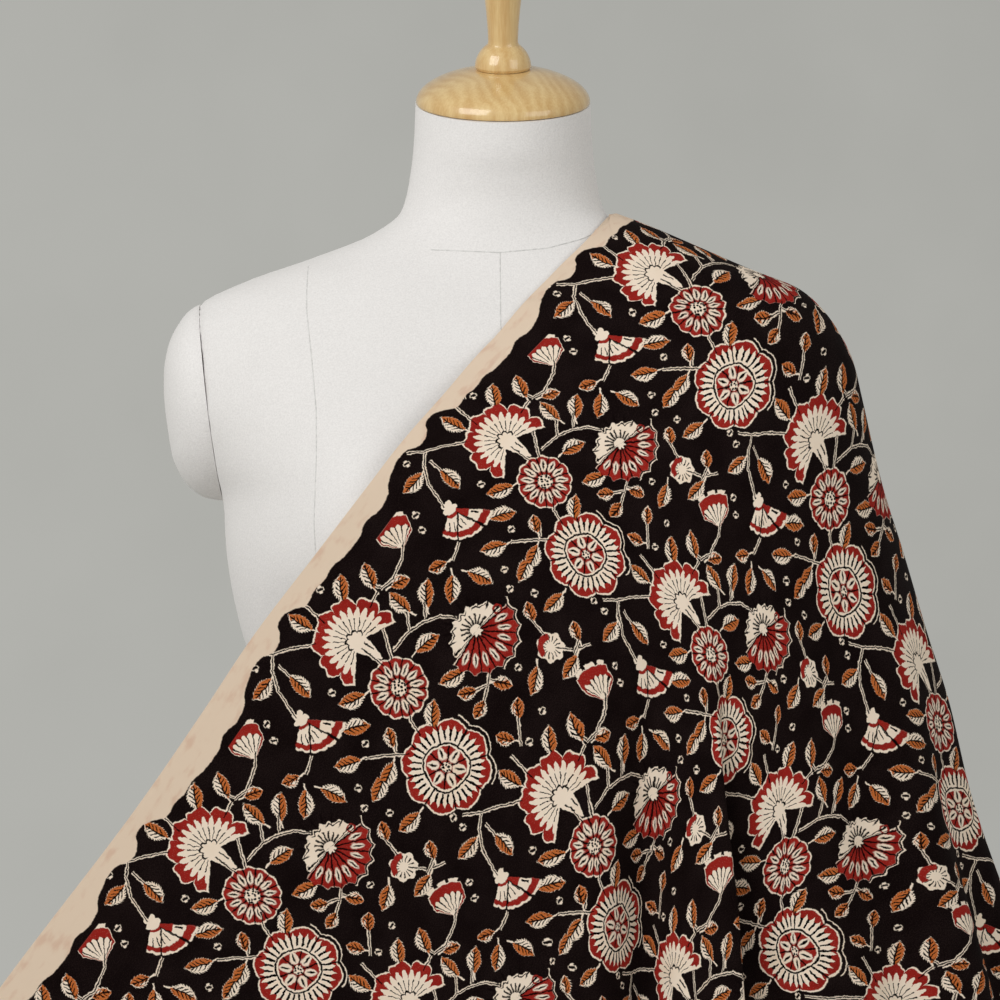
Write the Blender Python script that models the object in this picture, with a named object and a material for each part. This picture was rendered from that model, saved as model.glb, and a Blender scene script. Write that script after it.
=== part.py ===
"""A printed cotton length draped over one shoulder of a dress form.

Units are metres, +Z is up and the form faces -Y. The origin is the centre of the form's
flat underside, on the surface it stands on. The cotton hangs over the form's +X shoulder:
its selvedge runs from the side of the neck down across the bust to the -X side, and the
cloth falls in folds round the +X side to the back.
"""

import math
from collections import namedtuple

import bmesh
import bpy
import numpy as np
from mathutils import Matrix, Vector
from mathutils.bvhtree import BVHTree

# Driving sizes
FIT_GAP = 0.0003          # between two hard pieces that touch
CLOTH_THICKNESS = 0.0022
CLOTH_CLEARANCE = 0.0012  # between the cloth's inner face and the form
NECK_TILT = math.radians(17.5)
NECK_TOP = 0.684          # height of the neck's top at its centre
NECK_TOP_Y = -0.006
NECK_BASE = 0.615         # above this the sections lean with the neck
BUST_X, BUST_Z = 0.086, 0.397
BUST_RISE = 0.040
BUST_WIDTH, BUST_ABOVE, BUST_BELOW = 0.052, 0.068, 0.046
ARM_PLATE_X, ARM_PLATE_Z, ARM_PLATE_SLOPE = 0.1785, 0.443, 0.12
ARM_PLATE_LOW = 0.42      # the plates cut the form's sides above this height
ARM_CAP_Z, ARM_CAP_HALF_HEIGHT, ARM_CAP_HALF_DEPTH = 0.4945, 0.0625, 0.0545
ARM_CAP_Y = 0.003
CAP_RADIUS, CAP_HEIGHT, CAP_SEAT = 0.0553, 0.0238, 0.0185
BELL_RADIUS = 0.0180

# The handle's radius and height above the half ball's base
HANDLE_PROFILE = (
    (0.0095, 0.0172), (0.0096, 0.0210), (0.0100, 0.0280), (0.0109, 0.0380), (0.0123, 0.0500),
    (0.0135, 0.0620), (0.0140, 0.0720), (0.0134, 0.0820), (0.0110, 0.0900), (0.0070, 0.0945),
    (0.0025, 0.0960),
)

TORSO_AROUND = 48
CAP_AROUND = 28
TURNED_AROUND = 32

# One row for each height: half width, front and back depth, squareness of the section
Torso = namedtuple("Torso", "z half_width front back power")
TORSO_ROWS = (
    Torso(0.000, 0.170, 0.106, 0.116, 2.3),
    Torso(0.060, 0.168, 0.104, 0.116, 2.3),
    Torso(0.150, 0.143, 0.093, 0.099, 2.3),
    Torso(0.235, 0.123, 0.085, 0.081, 2.3),
    Torso(0.290, 0.137, 0.090, 0.084, 2.3),
    Torso(0.343, 0.164, 0.099, 0.092, 2.3),
    Torso(0.400, 0.1755, 0.106, 0.100, 2.3),
    Torso(0.432, 0.1778, 0.107, 0.105, 2.3),
    Torso(0.455, 0.1900, 0.106, 0.108, 2.3),
    Torso(0.4945, 0.2055, 0.100, 0.110, 2.3),
    Torso(0.520, 0.2065, 0.092, 0.109, 2.3),
    Torso(0.540, 0.2040, 0.083, 0.107, 2.3),
    Torso(0.5565, 0.1925, 0.073, 0.102, 2.2),
    Torso(0.5718, 0.1620, 0.063, 0.094, 2.1),
    Torso(0.5858, 0.1220, 0.0555, 0.085, 2.0),
    Torso(0.6017, 0.0825, 0.0515, 0.074, 2.0),
    Torso(0.6157, 0.0648, 0.0510, 0.064, 2.0),
    Torso(0.6360, 0.0594, 0.0540, 0.055, 2.0),
    Torso(0.6600, 0.0566, 0.0590, 0.051, 2.0),
    Torso(NECK_TOP, 0.0556, 0.0615, 0.0495, 2.0),
)

# The arm cap's reach beyond the arm plate, by height above the cap's middle
Reach = namedtuple("Reach", "rise reach")
ARM_CAP_ROWS = (
    Reach(-0.0625, 0.0000), Reach(-0.0610, 0.0100), Reach(-0.0560, 0.0185),
    Reach(-0.0475, 0.0250), Reach(-0.0310, 0.0297), Reach(-0.0035, 0.0303),
    Reach(0.0175, 0.0285), Reach(0.0365, 0.0232), Reach(0.0515, 0.0140),
    Reach(0.0590, 0.0065), Reach(0.0625, 0.0000),
)

# The cloth, one row for each height, from the surface to the side of the neck:
# the front selvedge's place, where the front turns the corner, the outer side,
# the depth of the front and of the back, and the back selvedge's place
Hang = namedtuple("Hang", "z edge_x edge_y corner_x side_x front back back_edge_x back_edge_y")
HANG_ROWS = (
    Hang(0.0000, -0.4088, -0.128, 0.083, 0.365, 0.158, 0.150, 0.078, 0.138),
    Hang(0.0700, -0.3523, -0.131, 0.085, 0.345, 0.156, 0.146, 0.077, 0.134),
    Hang(0.1400, -0.3023, -0.134, 0.0865, 0.325, 0.154, 0.141, 0.076, 0.129),
    Hang(0.2500, -0.2188, -0.139, 0.0895, 0.291, 0.150, 0.133, 0.075, 0.121),
    Hang(0.3050, -0.1808, -0.141, 0.0920, 0.280, 0.148, 0.128, 0.074, 0.116),
    Hang(0.3500, -0.1508, -0.142, 0.0965, 0.267, 0.146, 0.124, 0.073, 0.113),
    Hang(0.4000, -0.1128, -0.140, 0.100, 0.253, 0.142, 0.121, 0.073, 0.111),
    Hang(0.4420, -0.0808, -0.136, 0.100, 0.240, 0.132, 0.118, 0.072, 0.111),
    Hang(0.4670, -0.0618, -0.127, 0.096, 0.234, 0.122, 0.116, 0.072, 0.110),
    Hang(0.4990, -0.0343, -0.111, 0.090, 0.227, 0.107, 0.113, 0.071, 0.109),
    Hang(0.5200, -0.0168, -0.099, 0.088, 0.222, 0.097, 0.110, 0.071, 0.107),
    Hang(0.5370, -0.0008, -0.086, 0.086, 0.214, 0.088, 0.109, 0.070, 0.1065),
    Hang(0.5540, 0.0142, -0.074, 0.082, 0.202, 0.077, 0.101, 0.069, 0.098),
    Hang(0.5660, 0.0252, -0.067, 0.080, 0.188, 0.069, 0.095, 0.068, 0.092),
    Hang(0.5785, 0.0362, -0.060, 0.076, 0.157, 0.061, 0.087, 0.068, 0.083),
    Hang(0.5930, 0.0507, -0.050, 0.072, 0.123, 0.049, 0.072, 0.067, 0.064),
    Hang(0.6040, 0.0602, -0.036, 0.069, 0.096, 0.033, 0.050, 0.067, 0.043),
    Hang(0.6110, 0.0662, -0.020, 0.069, 0.077, 0.016, 0.024, 0.068, 0.023),
)
CROWN_RISE = 0.0030       # how far the topmost line arches over the shoulder
CROWN_INSET = 0.0045
CORNER_POWER = 2.25

# Folds hang from a height down to the surface. Place is counted in quarters round the
# cloth: 0 front selvedge, 1 front corner, 2 outer side, 3 back corner, 4 back selvedge.
# Depth is outward, lean is sideways away from the front selvedge, and near and far are
# the fold's widths on its two sides.
Fold = namedtuple("Fold", "name place_top place_low start full depth lean near far")
FOLDS = (
    Fold("wing slack", 0.55, 0.50, 0.30, 0.02, -0.007, 0.000, 0.090, 0.090),
    Fold("bust valley", 0.990, 1.000, 0.385, 0.17, -0.027, -0.003, 0.017, 0.011),
    Fold("lapping ridge", 1.070, 1.098, 0.390, 0.17, 0.009, 0.014, 0.022, 0.010),
    Fold("lapped pocket", 1.128, 1.145, 0.385, 0.16, -0.018, -0.012, 0.009, 0.030),
    Fold("front furrow", 1.40, 1.44, 0.500, 0.16, -0.011, 0.000, 0.020, 0.024),
    Fold("front swell", 1.58, 1.60, 0.480, 0.10, 0.008, 0.003, 0.030, 0.026),
    Fold("outer furrow", 1.76, 1.78, 0.380, 0.04, -0.016, 0.000, 0.024, 0.020),
    Fold("outer swell", 1.92, 1.93, 0.420, 0.05, 0.010, 0.004, 0.026, 0.020),
    Fold("side furrow", 2.14, 2.14, 0.500, 0.06, -0.024, 0.000, 0.024, 0.020),
    Fold("back swell", 2.36, 2.38, 0.440, 0.04, 0.012, 0.008, 0.026, 0.018),
    Fold("back furrow", 2.56, 2.58, 0.520, 0.06, -0.026, -0.004, 0.020, 0.024),
    Fold("blade swell", 2.80, 2.84, 0.460, 0.04, 0.012, 0.000, 0.026, 0.026),
    Fold("blade furrow", 3.20, 3.24, 0.480, 0.06, -0.014, 0.000, 0.020, 0.024),
)

# The hem spreads outward on the surface: height of the middle of the cloth, reach
Spread = namedtuple("Spread", "z reach")
HEM_ROWS = (
    Spread(0.5 * CLOTH_THICKNESS, 0.044), Spread(0.5 * CLOTH_THICKNESS, 0.026),
    Spread(0.0030, 0.012), Spread(0.0110, 0.0045),
)
HEM_UNEVEN = 0.011
LEVELS_LOW = (0.028, 0.380, 13)    # first, last, count
LEVELS_MIDDLE = (0.405, 0.550, 8)
LEVELS_SHOULDER = (0.5600, 0.6110, 8)


def smooth_column(rows, column, height):
    """Value of one column at a height, on a smooth curve that keeps the rows' order."""
    heights = np.array([row[0] for row in rows])
    values = np.array([getattr(row, column) for row in rows])
    steps = np.diff(heights)
    slopes = np.diff(values) / steps
    tangents = np.zeros_like(values)
    tangents[0], tangents[-1] = slopes[0], slopes[-1]
    for i in range(1, len(values) - 1):
        if slopes[i - 1] * slopes[i] > 0.0:
            w1 = 2.0 * steps[i] + steps[i - 1]
            w2 = steps[i] + 2.0 * steps[i - 1]
            tangents[i] = (w1 + w2) / (w1 / slopes[i - 1] + w2 / slopes[i])
    i = int(np.clip(np.searchsorted(heights, height) - 1, 0, len(steps) - 1))
    t = float(np.clip((height - heights[i]) / steps[i], 0.0, 1.0))
    return float((2 * t**3 - 3 * t**2 + 1) * values[i]
                 + (t**3 - 2 * t**2 + t) * steps[i] * tangents[i]
                 + (3 * t**2 - 2 * t**3) * values[i + 1]
                 + (t**3 - t**2) * steps[i] * tangents[i + 1])


def smooth_step(value):
    """Ease from 0 to 1 as value goes from 0 to 1."""
    t = min(max(value, 0.0), 1.0)
    return t * t * (3.0 - 2.0 * t)


def signed_power(value, power):
    return math.copysign(abs(value) ** power, value)


def make_material(name, colour, roughness):
    material = bpy.data.materials.new(name)
    material.use_nodes = True
    shader = material.node_tree.nodes["Principled BSDF"]
    shader.inputs["Base Color"].default_value = (*colour, 1.0)
    shader.inputs["Roughness"].default_value = roughness
    shader.inputs["Metallic"].default_value = 0.0
    return material


def add_object(name, vertices, faces, material):
    """One closed mesh object with its faces pointing out."""
    mesh = bpy.data.meshes.new(name)
    mesh.from_pydata([tuple(v) for v in vertices], [], faces)
    work = bmesh.new()
    work.from_mesh(mesh)
    bmesh.ops.recalc_face_normals(work, faces=work.faces)
    work.to_mesh(mesh)
    work.free()
    mesh.shade_smooth()
    mesh.set_sharp_from_angle(angle=math.radians(40.0))
    mesh.materials.append(material)
    result = bpy.data.objects.new(name, mesh)
    bpy.context.scene.collection.objects.link(result)
    return result


def bridge_rings(rings):
    """Vertices and faces of a stack of closed rings, capped at both ends."""
    count = len(rings[0])
    vertices = [point for ring in rings for point in ring]
    faces = []
    for r in range(len(rings) - 1):
        for i in range(count):
            j = (i + 1) % count
            faces.append((r * count + i, r * count + j, (r + 1) * count + j, (r + 1) * count + i))
    faces.append(tuple(range(count)))
    top = (len(rings) - 1) * count
    faces.append(tuple(top + i for i in range(count)))
    return vertices, faces


def arm_plate_x(z):
    """Distance of the flat arm plate from the form's middle, at a height."""
    return ARM_PLATE_X + ARM_PLATE_SLOPE * (z - ARM_PLATE_Z)


def bust_rise(x, z):
    """How far the bust stands forward of the plain section."""
    fall = BUST_ABOVE if z > BUST_Z else BUST_BELOW
    return BUST_RISE * sum(
        math.exp(-((x - side * BUST_X) / BUST_WIDTH) ** 2 - ((z - BUST_Z) / fall) ** 2)
        for side in (-1.0, 1.0)
    )


def torso_ring(z):
    """One section of the form. Above the neck's base it leans with the neck's top."""
    half_width = smooth_column(TORSO_ROWS, "half_width", z)
    front = smooth_column(TORSO_ROWS, "front", z)
    back = smooth_column(TORSO_ROWS, "back", z)
    power = 2.0 / smooth_column(TORSO_ROWS, "power", z)
    lean = math.tan(NECK_TILT) * smooth_step((z - NECK_BASE) / (NECK_TOP - NECK_BASE))
    ring = []
    for i in range(TORSO_AROUND):
        angle = 2.0 * math.pi * i / TORSO_AROUND
        x = half_width * signed_power(math.cos(angle), power)
        y = signed_power(math.sin(angle), power)
        y *= back if y > 0.0 else front
        if y < 0.0:
            y -= bust_rise(x, z) * smooth_step(-y / (0.6 * front))
        if z > ARM_PLATE_LOW:
            limit = arm_plate_x(z)
            x = min(max(x, -limit), limit)
        ring.append((x, y, z + lean * (y - NECK_TOP_Y)))
    return ring


def make_torso(material):
    """Torso and neck in one, flat under the hips, with flat arm plates."""
    heights = list(np.linspace(0.0, 0.30, 9)) + list(np.linspace(0.33, 0.54, 12))
    heights += list(np.linspace(0.5565, 0.6157, 8)) + list(np.linspace(0.630, NECK_TOP, 5))
    vertices, faces = bridge_rings([torso_ring(z) for z in heights])
    return add_object("form_torso", vertices, faces, material)


def make_arm_cap(name, side, material):
    """A domed cap on an arm plate. side is +1 or -1 along X."""
    rings = []
    for row in ARM_CAP_ROWS[1:-1]:
        z = ARM_CAP_Z + row.rise
        depth = ARM_CAP_HALF_DEPTH * math.sqrt(1.0 - (row.rise / ARM_CAP_HALF_HEIGHT) ** 2)
        ring = []
        for i in range(CAP_AROUND // 2 + 1):
            angle = math.pi * (i / (CAP_AROUND // 2) - 0.5)
            x = arm_plate_x(z) + FIT_GAP + row.reach * math.cos(angle) ** 0.85
            ring.append((side * x, ARM_CAP_Y + depth * math.sin(angle), z))
        rings.append(ring)
    vertices, faces = bridge_rings(rings)
    return add_object(name, vertices, faces, material)


def make_turned(name, profile, seat, material):
    """A turned piece on the neck's tilted axis. profile runs up the outer side."""
    place = Matrix.Translation(seat) @ Matrix.Rotation(NECK_TILT, 4, "X")
    rings = []
    for radius, height in profile:
        ring = []
        for i in range(TURNED_AROUND):
            angle = 2.0 * math.pi * i / TURNED_AROUND
            local = Vector((radius * math.cos(angle), radius * math.sin(angle), height))
            ring.append(place @ local)
        rings.append(ring)
    vertices, faces = bridge_rings(rings)
    return add_object(name, vertices, faces, material)


def neck_cap_profile():
    """Flat underside, a low domed top and a small flat seat for the finial."""
    profile = [(CAP_RADIUS - 0.0012, 0.0), (CAP_RADIUS, 0.0012)]
    last = math.acos(CAP_SEAT / CAP_RADIUS)
    for i in range(1, 10):
        angle = last * i / 9.0
        rise = (CAP_HEIGHT - 0.0012) * math.sin(angle)
        profile.append((CAP_RADIUS * math.cos(angle), 0.0012 + rise))
    return profile


def finial_profile():
    """A half ball standing on its wide side, and a handle that flares upward."""
    profile = [(BELL_RADIUS - 0.0010, 0.0)]
    for i in range(8):
        angle = math.radians(4.0 + 52.0 * i / 7.0)
        profile.append((BELL_RADIUS * math.cos(angle), 0.0005 + BELL_RADIUS * math.sin(angle)))
    return profile + list(HANDLE_PROFILE)


def hang_section(z, place):
    """A point of the unfolded cloth's section at a height, before its folds."""
    row = {name: smooth_column(HANG_ROWS, name, z) for name in Hang._fields[1:]}
    power = 2.0 / CORNER_POWER
    if place <= 1.0:
        x = row["edge_x"] + (row["corner_x"] - row["edge_x"]) * place
        y = row["edge_y"] + (-row["front"] - row["edge_y"]) * place
    elif place <= 2.0:
        angle = 0.5 * math.pi * (place - 1.0)
        x = row["corner_x"] + (row["side_x"] - row["corner_x"]) * math.sin(angle) ** power
        y = -row["front"] * max(math.cos(angle), 0.0) ** power
    elif place <= 3.0:
        angle = 0.5 * math.pi * (place - 2.0)
        corner = row["back_edge_x"] + 0.35 * (row["side_x"] - row["back_edge_x"])
        x = corner + (row["side_x"] - corner) * max(math.cos(angle), 0.0) ** power
        y = row["back"] * math.sin(angle) ** power
    else:
        corner = row["back_edge_x"] + 0.35 * (row["side_x"] - row["back_edge_x"])
        x = corner + (row["back_edge_x"] - corner) * (place - 3.0)
        y = row["back"] + (row["back_edge_y"] - row["back"]) * (place - 3.0)
    return Vector((x, y, z))


def section_axes(z, place):
    """Outward and sideways directions of the section at a place."""
    step = 0.02
    along = hang_section(z, min(place + step, 4.0)) - hang_section(z, max(place - step, 0.0))
    along.normalize()
    return Vector((along.y, -along.x, 0.0)), along


def cloth_point(z, place):
    """A point of the cloth's middle surface, folds included."""
    point = hang_section(z, place)
    outward, along = section_axes(z, place)
    for fold in FOLDS:
        grown = smooth_step((fold.start - z) / (fold.start - fold.full))
        middle = fold.place_low + (fold.place_top - fold.place_low) * min(z / fold.start, 1.0)
        distance = (hang_section(z, middle) - hang_section(z, place)).length
        share = grown * math.exp(-(distance / (fold.near if place < middle else fold.far)) ** 2)
        point += outward * (fold.depth * share) + along * (fold.lean * share)
    crown = smooth_step((z - LEVELS_SHOULDER[0]) / (LEVELS_SHOULDER[1] - LEVELS_SHOULDER[0])) ** 4
    arch = max(math.sin(0.25 * math.pi * place), 0.0) ** 2
    point.z += CROWN_RISE * crown * arch
    point.x -= CROWN_INSET * crown * arch
    return point


def cloth_places():
    """Where the columns stand round the cloth, closer together at the deep folds."""
    places = list(np.linspace(0.0, 0.84, 8)) + list(np.linspace(0.89, 1.04, 8))
    places += list(np.linspace(1.055, 1.19, 10)) + list(np.linspace(1.24, 2.00, 14))
    return places + list(np.linspace(2.06, 3.00, 15)) + list(np.linspace(3.12, 4.0, 6))


def cloth_grid(form_tree):
    """Rows of points of the cloth's middle surface, from the hem to the neck."""
    places = cloth_places()
    foot = LEVELS_LOW[0]
    rows = []
    for spread in HEM_ROWS:
        row = []
        for place in places:
            point = cloth_point(foot * spread.z / HEM_ROWS[-1].z * 0.5, place)
            outward, _ = section_axes(0.0, place)
            uneven = 1.0 + HEM_UNEVEN / HEM_ROWS[0].reach * (
                math.sin(5.1 * place + 0.6) + 0.6 * math.sin(11.3 * place))
            point += outward * spread.reach * uneven
            point.z = spread.z
            row.append(point)
        rows.append(row)
    for first, last, count in (LEVELS_LOW, LEVELS_MIDDLE, LEVELS_SHOULDER):
        rows += [[cloth_point(z, place) for place in places] for z in np.linspace(first, last, count)]
    hem, hanging = rows[:len(HEM_ROWS)], rows[len(HEM_ROWS):]
    return hem + [[clear_of_form(point, form_tree) for point in row] for row in hanging]


def clear_of_form(point, form_tree):
    """The point, moved out to where the cloth just clears the form."""
    least = CLOTH_CLEARANCE + 0.5 * CLOTH_THICKNESS
    for _ in range(3):
        nearest, normal, _, distance = form_tree.find_nearest(point)
        depth = (point - nearest).dot(normal)
        if distance >= least and depth > 0.0:
            break
        point = nearest + normal * (least + 0.0002)
    return point


def grid_normals(grid):
    """Unit normals of a grid of points, facing out of the drape."""
    points = np.array([[tuple(point) for point in row] for row in grid])
    along = np.gradient(points, axis=1)
    upward = np.gradient(points, axis=0)
    normals = np.cross(along, upward)
    return points, normals / np.linalg.norm(normals, axis=2, keepdims=True)


def make_cloth(form_tree, material):
    """The draped length as one solid sheet, flat under its spread hem."""
    points, normals = grid_normals(cloth_grid(form_tree))
    outer = points + normals * 0.5 * CLOTH_THICKNESS
    inner = points - normals * 0.5 * CLOTH_THICKNESS
    for face in (outer, inner):
        face[..., 2] = np.maximum(face[..., 2], 0.0)
    for row in range(2):
        outer[row, :, 2] = CLOTH_THICKNESS
        inner[row, :, 2] = 0.0
        outer[row, :, :2] = points[row, :, :2]
        inner[row, :, :2] = points[row, :, :2]
    levels, columns = points.shape[:2]
    vertices = np.concatenate([outer.reshape(-1, 3), inner.reshape(-1, 3)])
    below = levels * columns
    faces = []
    for r in range(levels - 1):
        for c in range(columns - 1):
            a, b = r * columns + c, r * columns + c + 1
            d, e = a + columns, b + columns
            faces.append((a, b, e, d))
            faces.append((below + a, below + d, below + e, below + b))
    rim = [c for c in range(columns)]
    rim += [r * columns + columns - 1 for r in range(1, levels)]
    rim += [(levels - 1) * columns + c for c in range(columns - 2, -1, -1)]
    rim += [r * columns for r in range(levels - 2, 0, -1)]
    for a, b in zip(rim, rim[1:] + rim[:1]):
        faces.append((a, below + a, below + b, b))
    return add_object("printed_cotton", vertices, faces, material)


def tree_of(objects):
    """One search tree over the given objects' meshes."""
    vertices, polygons = [], []
    for item in objects:
        start = len(vertices)
        vertices += [item.matrix_world @ v.co for v in item.data.vertices]
        polygons += [[start + i for i in face.vertices] for face in item.data.polygons]
    return BVHTree.FromPolygons(vertices, polygons)


def clear_scene():
    for item in list(bpy.data.objects):
        bpy.data.objects.remove(item)


def main():
    clear_scene()
    cover = make_material("form_cover", (0.74, 0.74, 0.73), 0.85)
    wood = make_material("turned_wood", (0.62, 0.36, 0.13), 0.30)
    cotton = make_material("printed_cotton", (0.030, 0.018, 0.016), 0.85)
    torso = make_torso(cover)
    caps = [make_arm_cap("arm_cap_right", -1.0, cover), make_arm_cap("arm_cap_left", 1.0, cover)]
    up = Vector((0.0, -math.sin(NECK_TILT), math.cos(NECK_TILT)))
    seat = Vector((0.0, NECK_TOP_Y, NECK_TOP)) + up * FIT_GAP
    make_turned("neck_cap", neck_cap_profile(), seat, wood)
    finial_seat = seat + up * (neck_cap_profile()[-1][1] + FIT_GAP)
    make_turned("finial", finial_profile(), finial_seat, wood)
    make_cloth(tree_of([torso] + caps), cotton)


main()
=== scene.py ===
"""A length of block-printed cotton draped over one shoulder of a dress form.

Units are metres, +Z is up and the form faces -Y, in the same frame as the CAD solids.
The dress form, its turned wood and the cotton are each built finer here than their
solids, from the same sizes. The cotton is laid flat again in numbers, so that its
print runs true to the selvedge and is cut off where the cloth laps over itself.
"""

import logging
import math
from dataclasses import dataclass
from enum import Enum
from typing import NamedTuple, Sequence, Union

import bmesh
import bpy
import numpy as np
from mathutils import Matrix, Vector
from mathutils.bvhtree import BVHTree

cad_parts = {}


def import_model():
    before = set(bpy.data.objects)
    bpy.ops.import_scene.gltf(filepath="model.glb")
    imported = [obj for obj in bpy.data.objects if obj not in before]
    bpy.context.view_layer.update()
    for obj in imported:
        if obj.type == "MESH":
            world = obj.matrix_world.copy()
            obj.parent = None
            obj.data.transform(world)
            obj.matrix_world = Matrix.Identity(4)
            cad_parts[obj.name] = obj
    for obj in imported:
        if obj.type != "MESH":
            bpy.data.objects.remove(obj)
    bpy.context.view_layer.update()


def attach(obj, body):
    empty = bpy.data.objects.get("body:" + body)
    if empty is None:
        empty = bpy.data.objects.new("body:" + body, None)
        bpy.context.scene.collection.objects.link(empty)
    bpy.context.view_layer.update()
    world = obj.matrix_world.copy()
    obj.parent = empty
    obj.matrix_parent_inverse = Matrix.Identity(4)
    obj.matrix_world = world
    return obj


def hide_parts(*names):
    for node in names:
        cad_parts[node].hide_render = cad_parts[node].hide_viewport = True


Pair = tuple[float, float]
Triple = tuple[float, float, float]
Colour = tuple[float, float, float, float]

LOG = logging.getLogger("draped_cotton")
BODY = "root"
RIM = "selvedge_distance"
MILLIMETRES = 1000.0
ORIGIN = (0.0, 0.0, 0.0)
NECK_TILT = math.radians(17.5)
# Clearance between parts that rest on each other
SEAT_GAP = 0.0003
# How steeply a slice of a flower ends, in millimetres a radian
STEEP = 20.0
# A turn is carried as a length this much smaller, so that it doesn't count as distance
CARRIED_TURN = 0.01
# Keeps a division from failing where a length is nought
TINY = 1e-12


class TorsoRow(NamedTuple):
    """One section of the form."""

    z: float
    half_width: float
    front: float
    back: float
    power: float


class ReachRow(NamedTuple):
    """How far the arm cap stands out, at a height above its middle."""

    rise: float
    reach: float


class HangRow(NamedTuple):
    """One section of the hanging cloth."""

    z: float
    edge_x: float
    edge_y: float
    corner_x: float
    side_x: float
    front: float
    back: float
    back_edge_x: float
    back_edge_y: float


class Fold(NamedTuple):
    """A fold that hangs from a height; places count quarters round the cloth."""

    place_top: float
    place_low: float
    start: float
    full: float
    depth: float
    lean: float
    near: float
    far: float


class Spread(NamedTuple):
    """How far the hem reaches out on the surface it rests on."""

    z: float
    reach: float


TORSO_ROWS = tuple(TorsoRow(*row) for row in (
    (0.0, 0.17, 0.106, 0.116, 2.3),
    (0.06, 0.168, 0.104, 0.116, 2.3),
    (0.15, 0.143, 0.093, 0.099, 2.3),
    (0.235, 0.123, 0.085, 0.081, 2.3),
    (0.29, 0.137, 0.09, 0.084, 2.3),
    (0.343, 0.164, 0.099, 0.092, 2.3),
    (0.4, 0.1755, 0.106, 0.1, 2.3),
    (0.432, 0.1778, 0.107, 0.105, 2.3),
    (0.455, 0.19, 0.106, 0.108, 2.3),
    (0.4945, 0.2055, 0.1, 0.11, 2.3),
    (0.52, 0.2065, 0.092, 0.109, 2.3),
    (0.54, 0.204, 0.083, 0.107, 2.3),
    (0.5565, 0.1925, 0.073, 0.102, 2.2),
    (0.5718, 0.162, 0.063, 0.094, 2.1),
    (0.5858, 0.122, 0.0555, 0.085, 2.0),
    (0.6017, 0.0825, 0.0515, 0.074, 2.0),
    (0.6157, 0.0648, 0.051, 0.064, 2.0),
    (0.636, 0.0594, 0.054, 0.055, 2.0),
    (0.66, 0.0566, 0.059, 0.051, 2.0),
    (0.684, 0.0556, 0.0615, 0.0495, 2.0),
))
ARM_CAP_ROWS = tuple(ReachRow(*row) for row in (
    (-0.0625, 0.0), (-0.061, 0.01), (-0.056, 0.0185), (-0.0475, 0.025), (-0.031, 0.0297),
    (-0.0035, 0.0303), (0.0175, 0.0285), (0.0365, 0.0232), (0.0515, 0.014), (0.059, 0.0065),
    (0.0625, 0.0),
))
HANDLE_PROFILE = (
    (0.0095, 0.0172), (0.0096, 0.021), (0.01, 0.028), (0.0109, 0.038), (0.0123, 0.05),
    (0.0135, 0.062), (0.014, 0.072), (0.0134, 0.082), (0.011, 0.09), (0.007, 0.0945),
    (0.0025, 0.096),
)
HANG_ROWS = tuple(HangRow(*row) for row in (
    (0.0, -0.4088, -0.128, 0.083, 0.365, 0.158, 0.15, 0.078, 0.138),
    (0.07, -0.3523, -0.131, 0.085, 0.345, 0.156, 0.146, 0.077, 0.134),
    (0.14, -0.3023, -0.134, 0.0865, 0.325, 0.154, 0.141, 0.076, 0.129),
    (0.25, -0.2188, -0.139, 0.0895, 0.291, 0.15, 0.133, 0.075, 0.121),
    (0.305, -0.1808, -0.141, 0.092, 0.28, 0.148, 0.128, 0.074, 0.116),
    (0.35, -0.1508, -0.142, 0.0965, 0.267, 0.146, 0.124, 0.073, 0.113),
    (0.4, -0.1128, -0.14, 0.1, 0.253, 0.142, 0.121, 0.073, 0.111),
    (0.442, -0.0808, -0.136, 0.1, 0.24, 0.132, 0.118, 0.072, 0.111),
    (0.467, -0.0618, -0.127, 0.096, 0.234, 0.122, 0.116, 0.072, 0.11),
    (0.499, -0.0343, -0.111, 0.09, 0.227, 0.107, 0.113, 0.071, 0.109),
    (0.52, -0.0168, -0.099, 0.088, 0.222, 0.097, 0.11, 0.071, 0.107),
    (0.537, -0.0008, -0.086, 0.086, 0.214, 0.088, 0.109, 0.07, 0.1065),
    (0.554, 0.0142, -0.074, 0.082, 0.202, 0.077, 0.101, 0.069, 0.098),
    (0.566, 0.0252, -0.067, 0.08, 0.188, 0.069, 0.095, 0.068, 0.092),
    (0.5785, 0.0362, -0.06, 0.076, 0.157, 0.061, 0.087, 0.068, 0.083),
    (0.593, 0.0507, -0.05, 0.072, 0.123, 0.049, 0.072, 0.067, 0.064),
    (0.604, 0.0602, -0.036, 0.069, 0.096, 0.033, 0.05, 0.067, 0.043),
    (0.611, 0.0662, -0.02, 0.069, 0.077, 0.016, 0.024, 0.068, 0.023),
))
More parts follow.
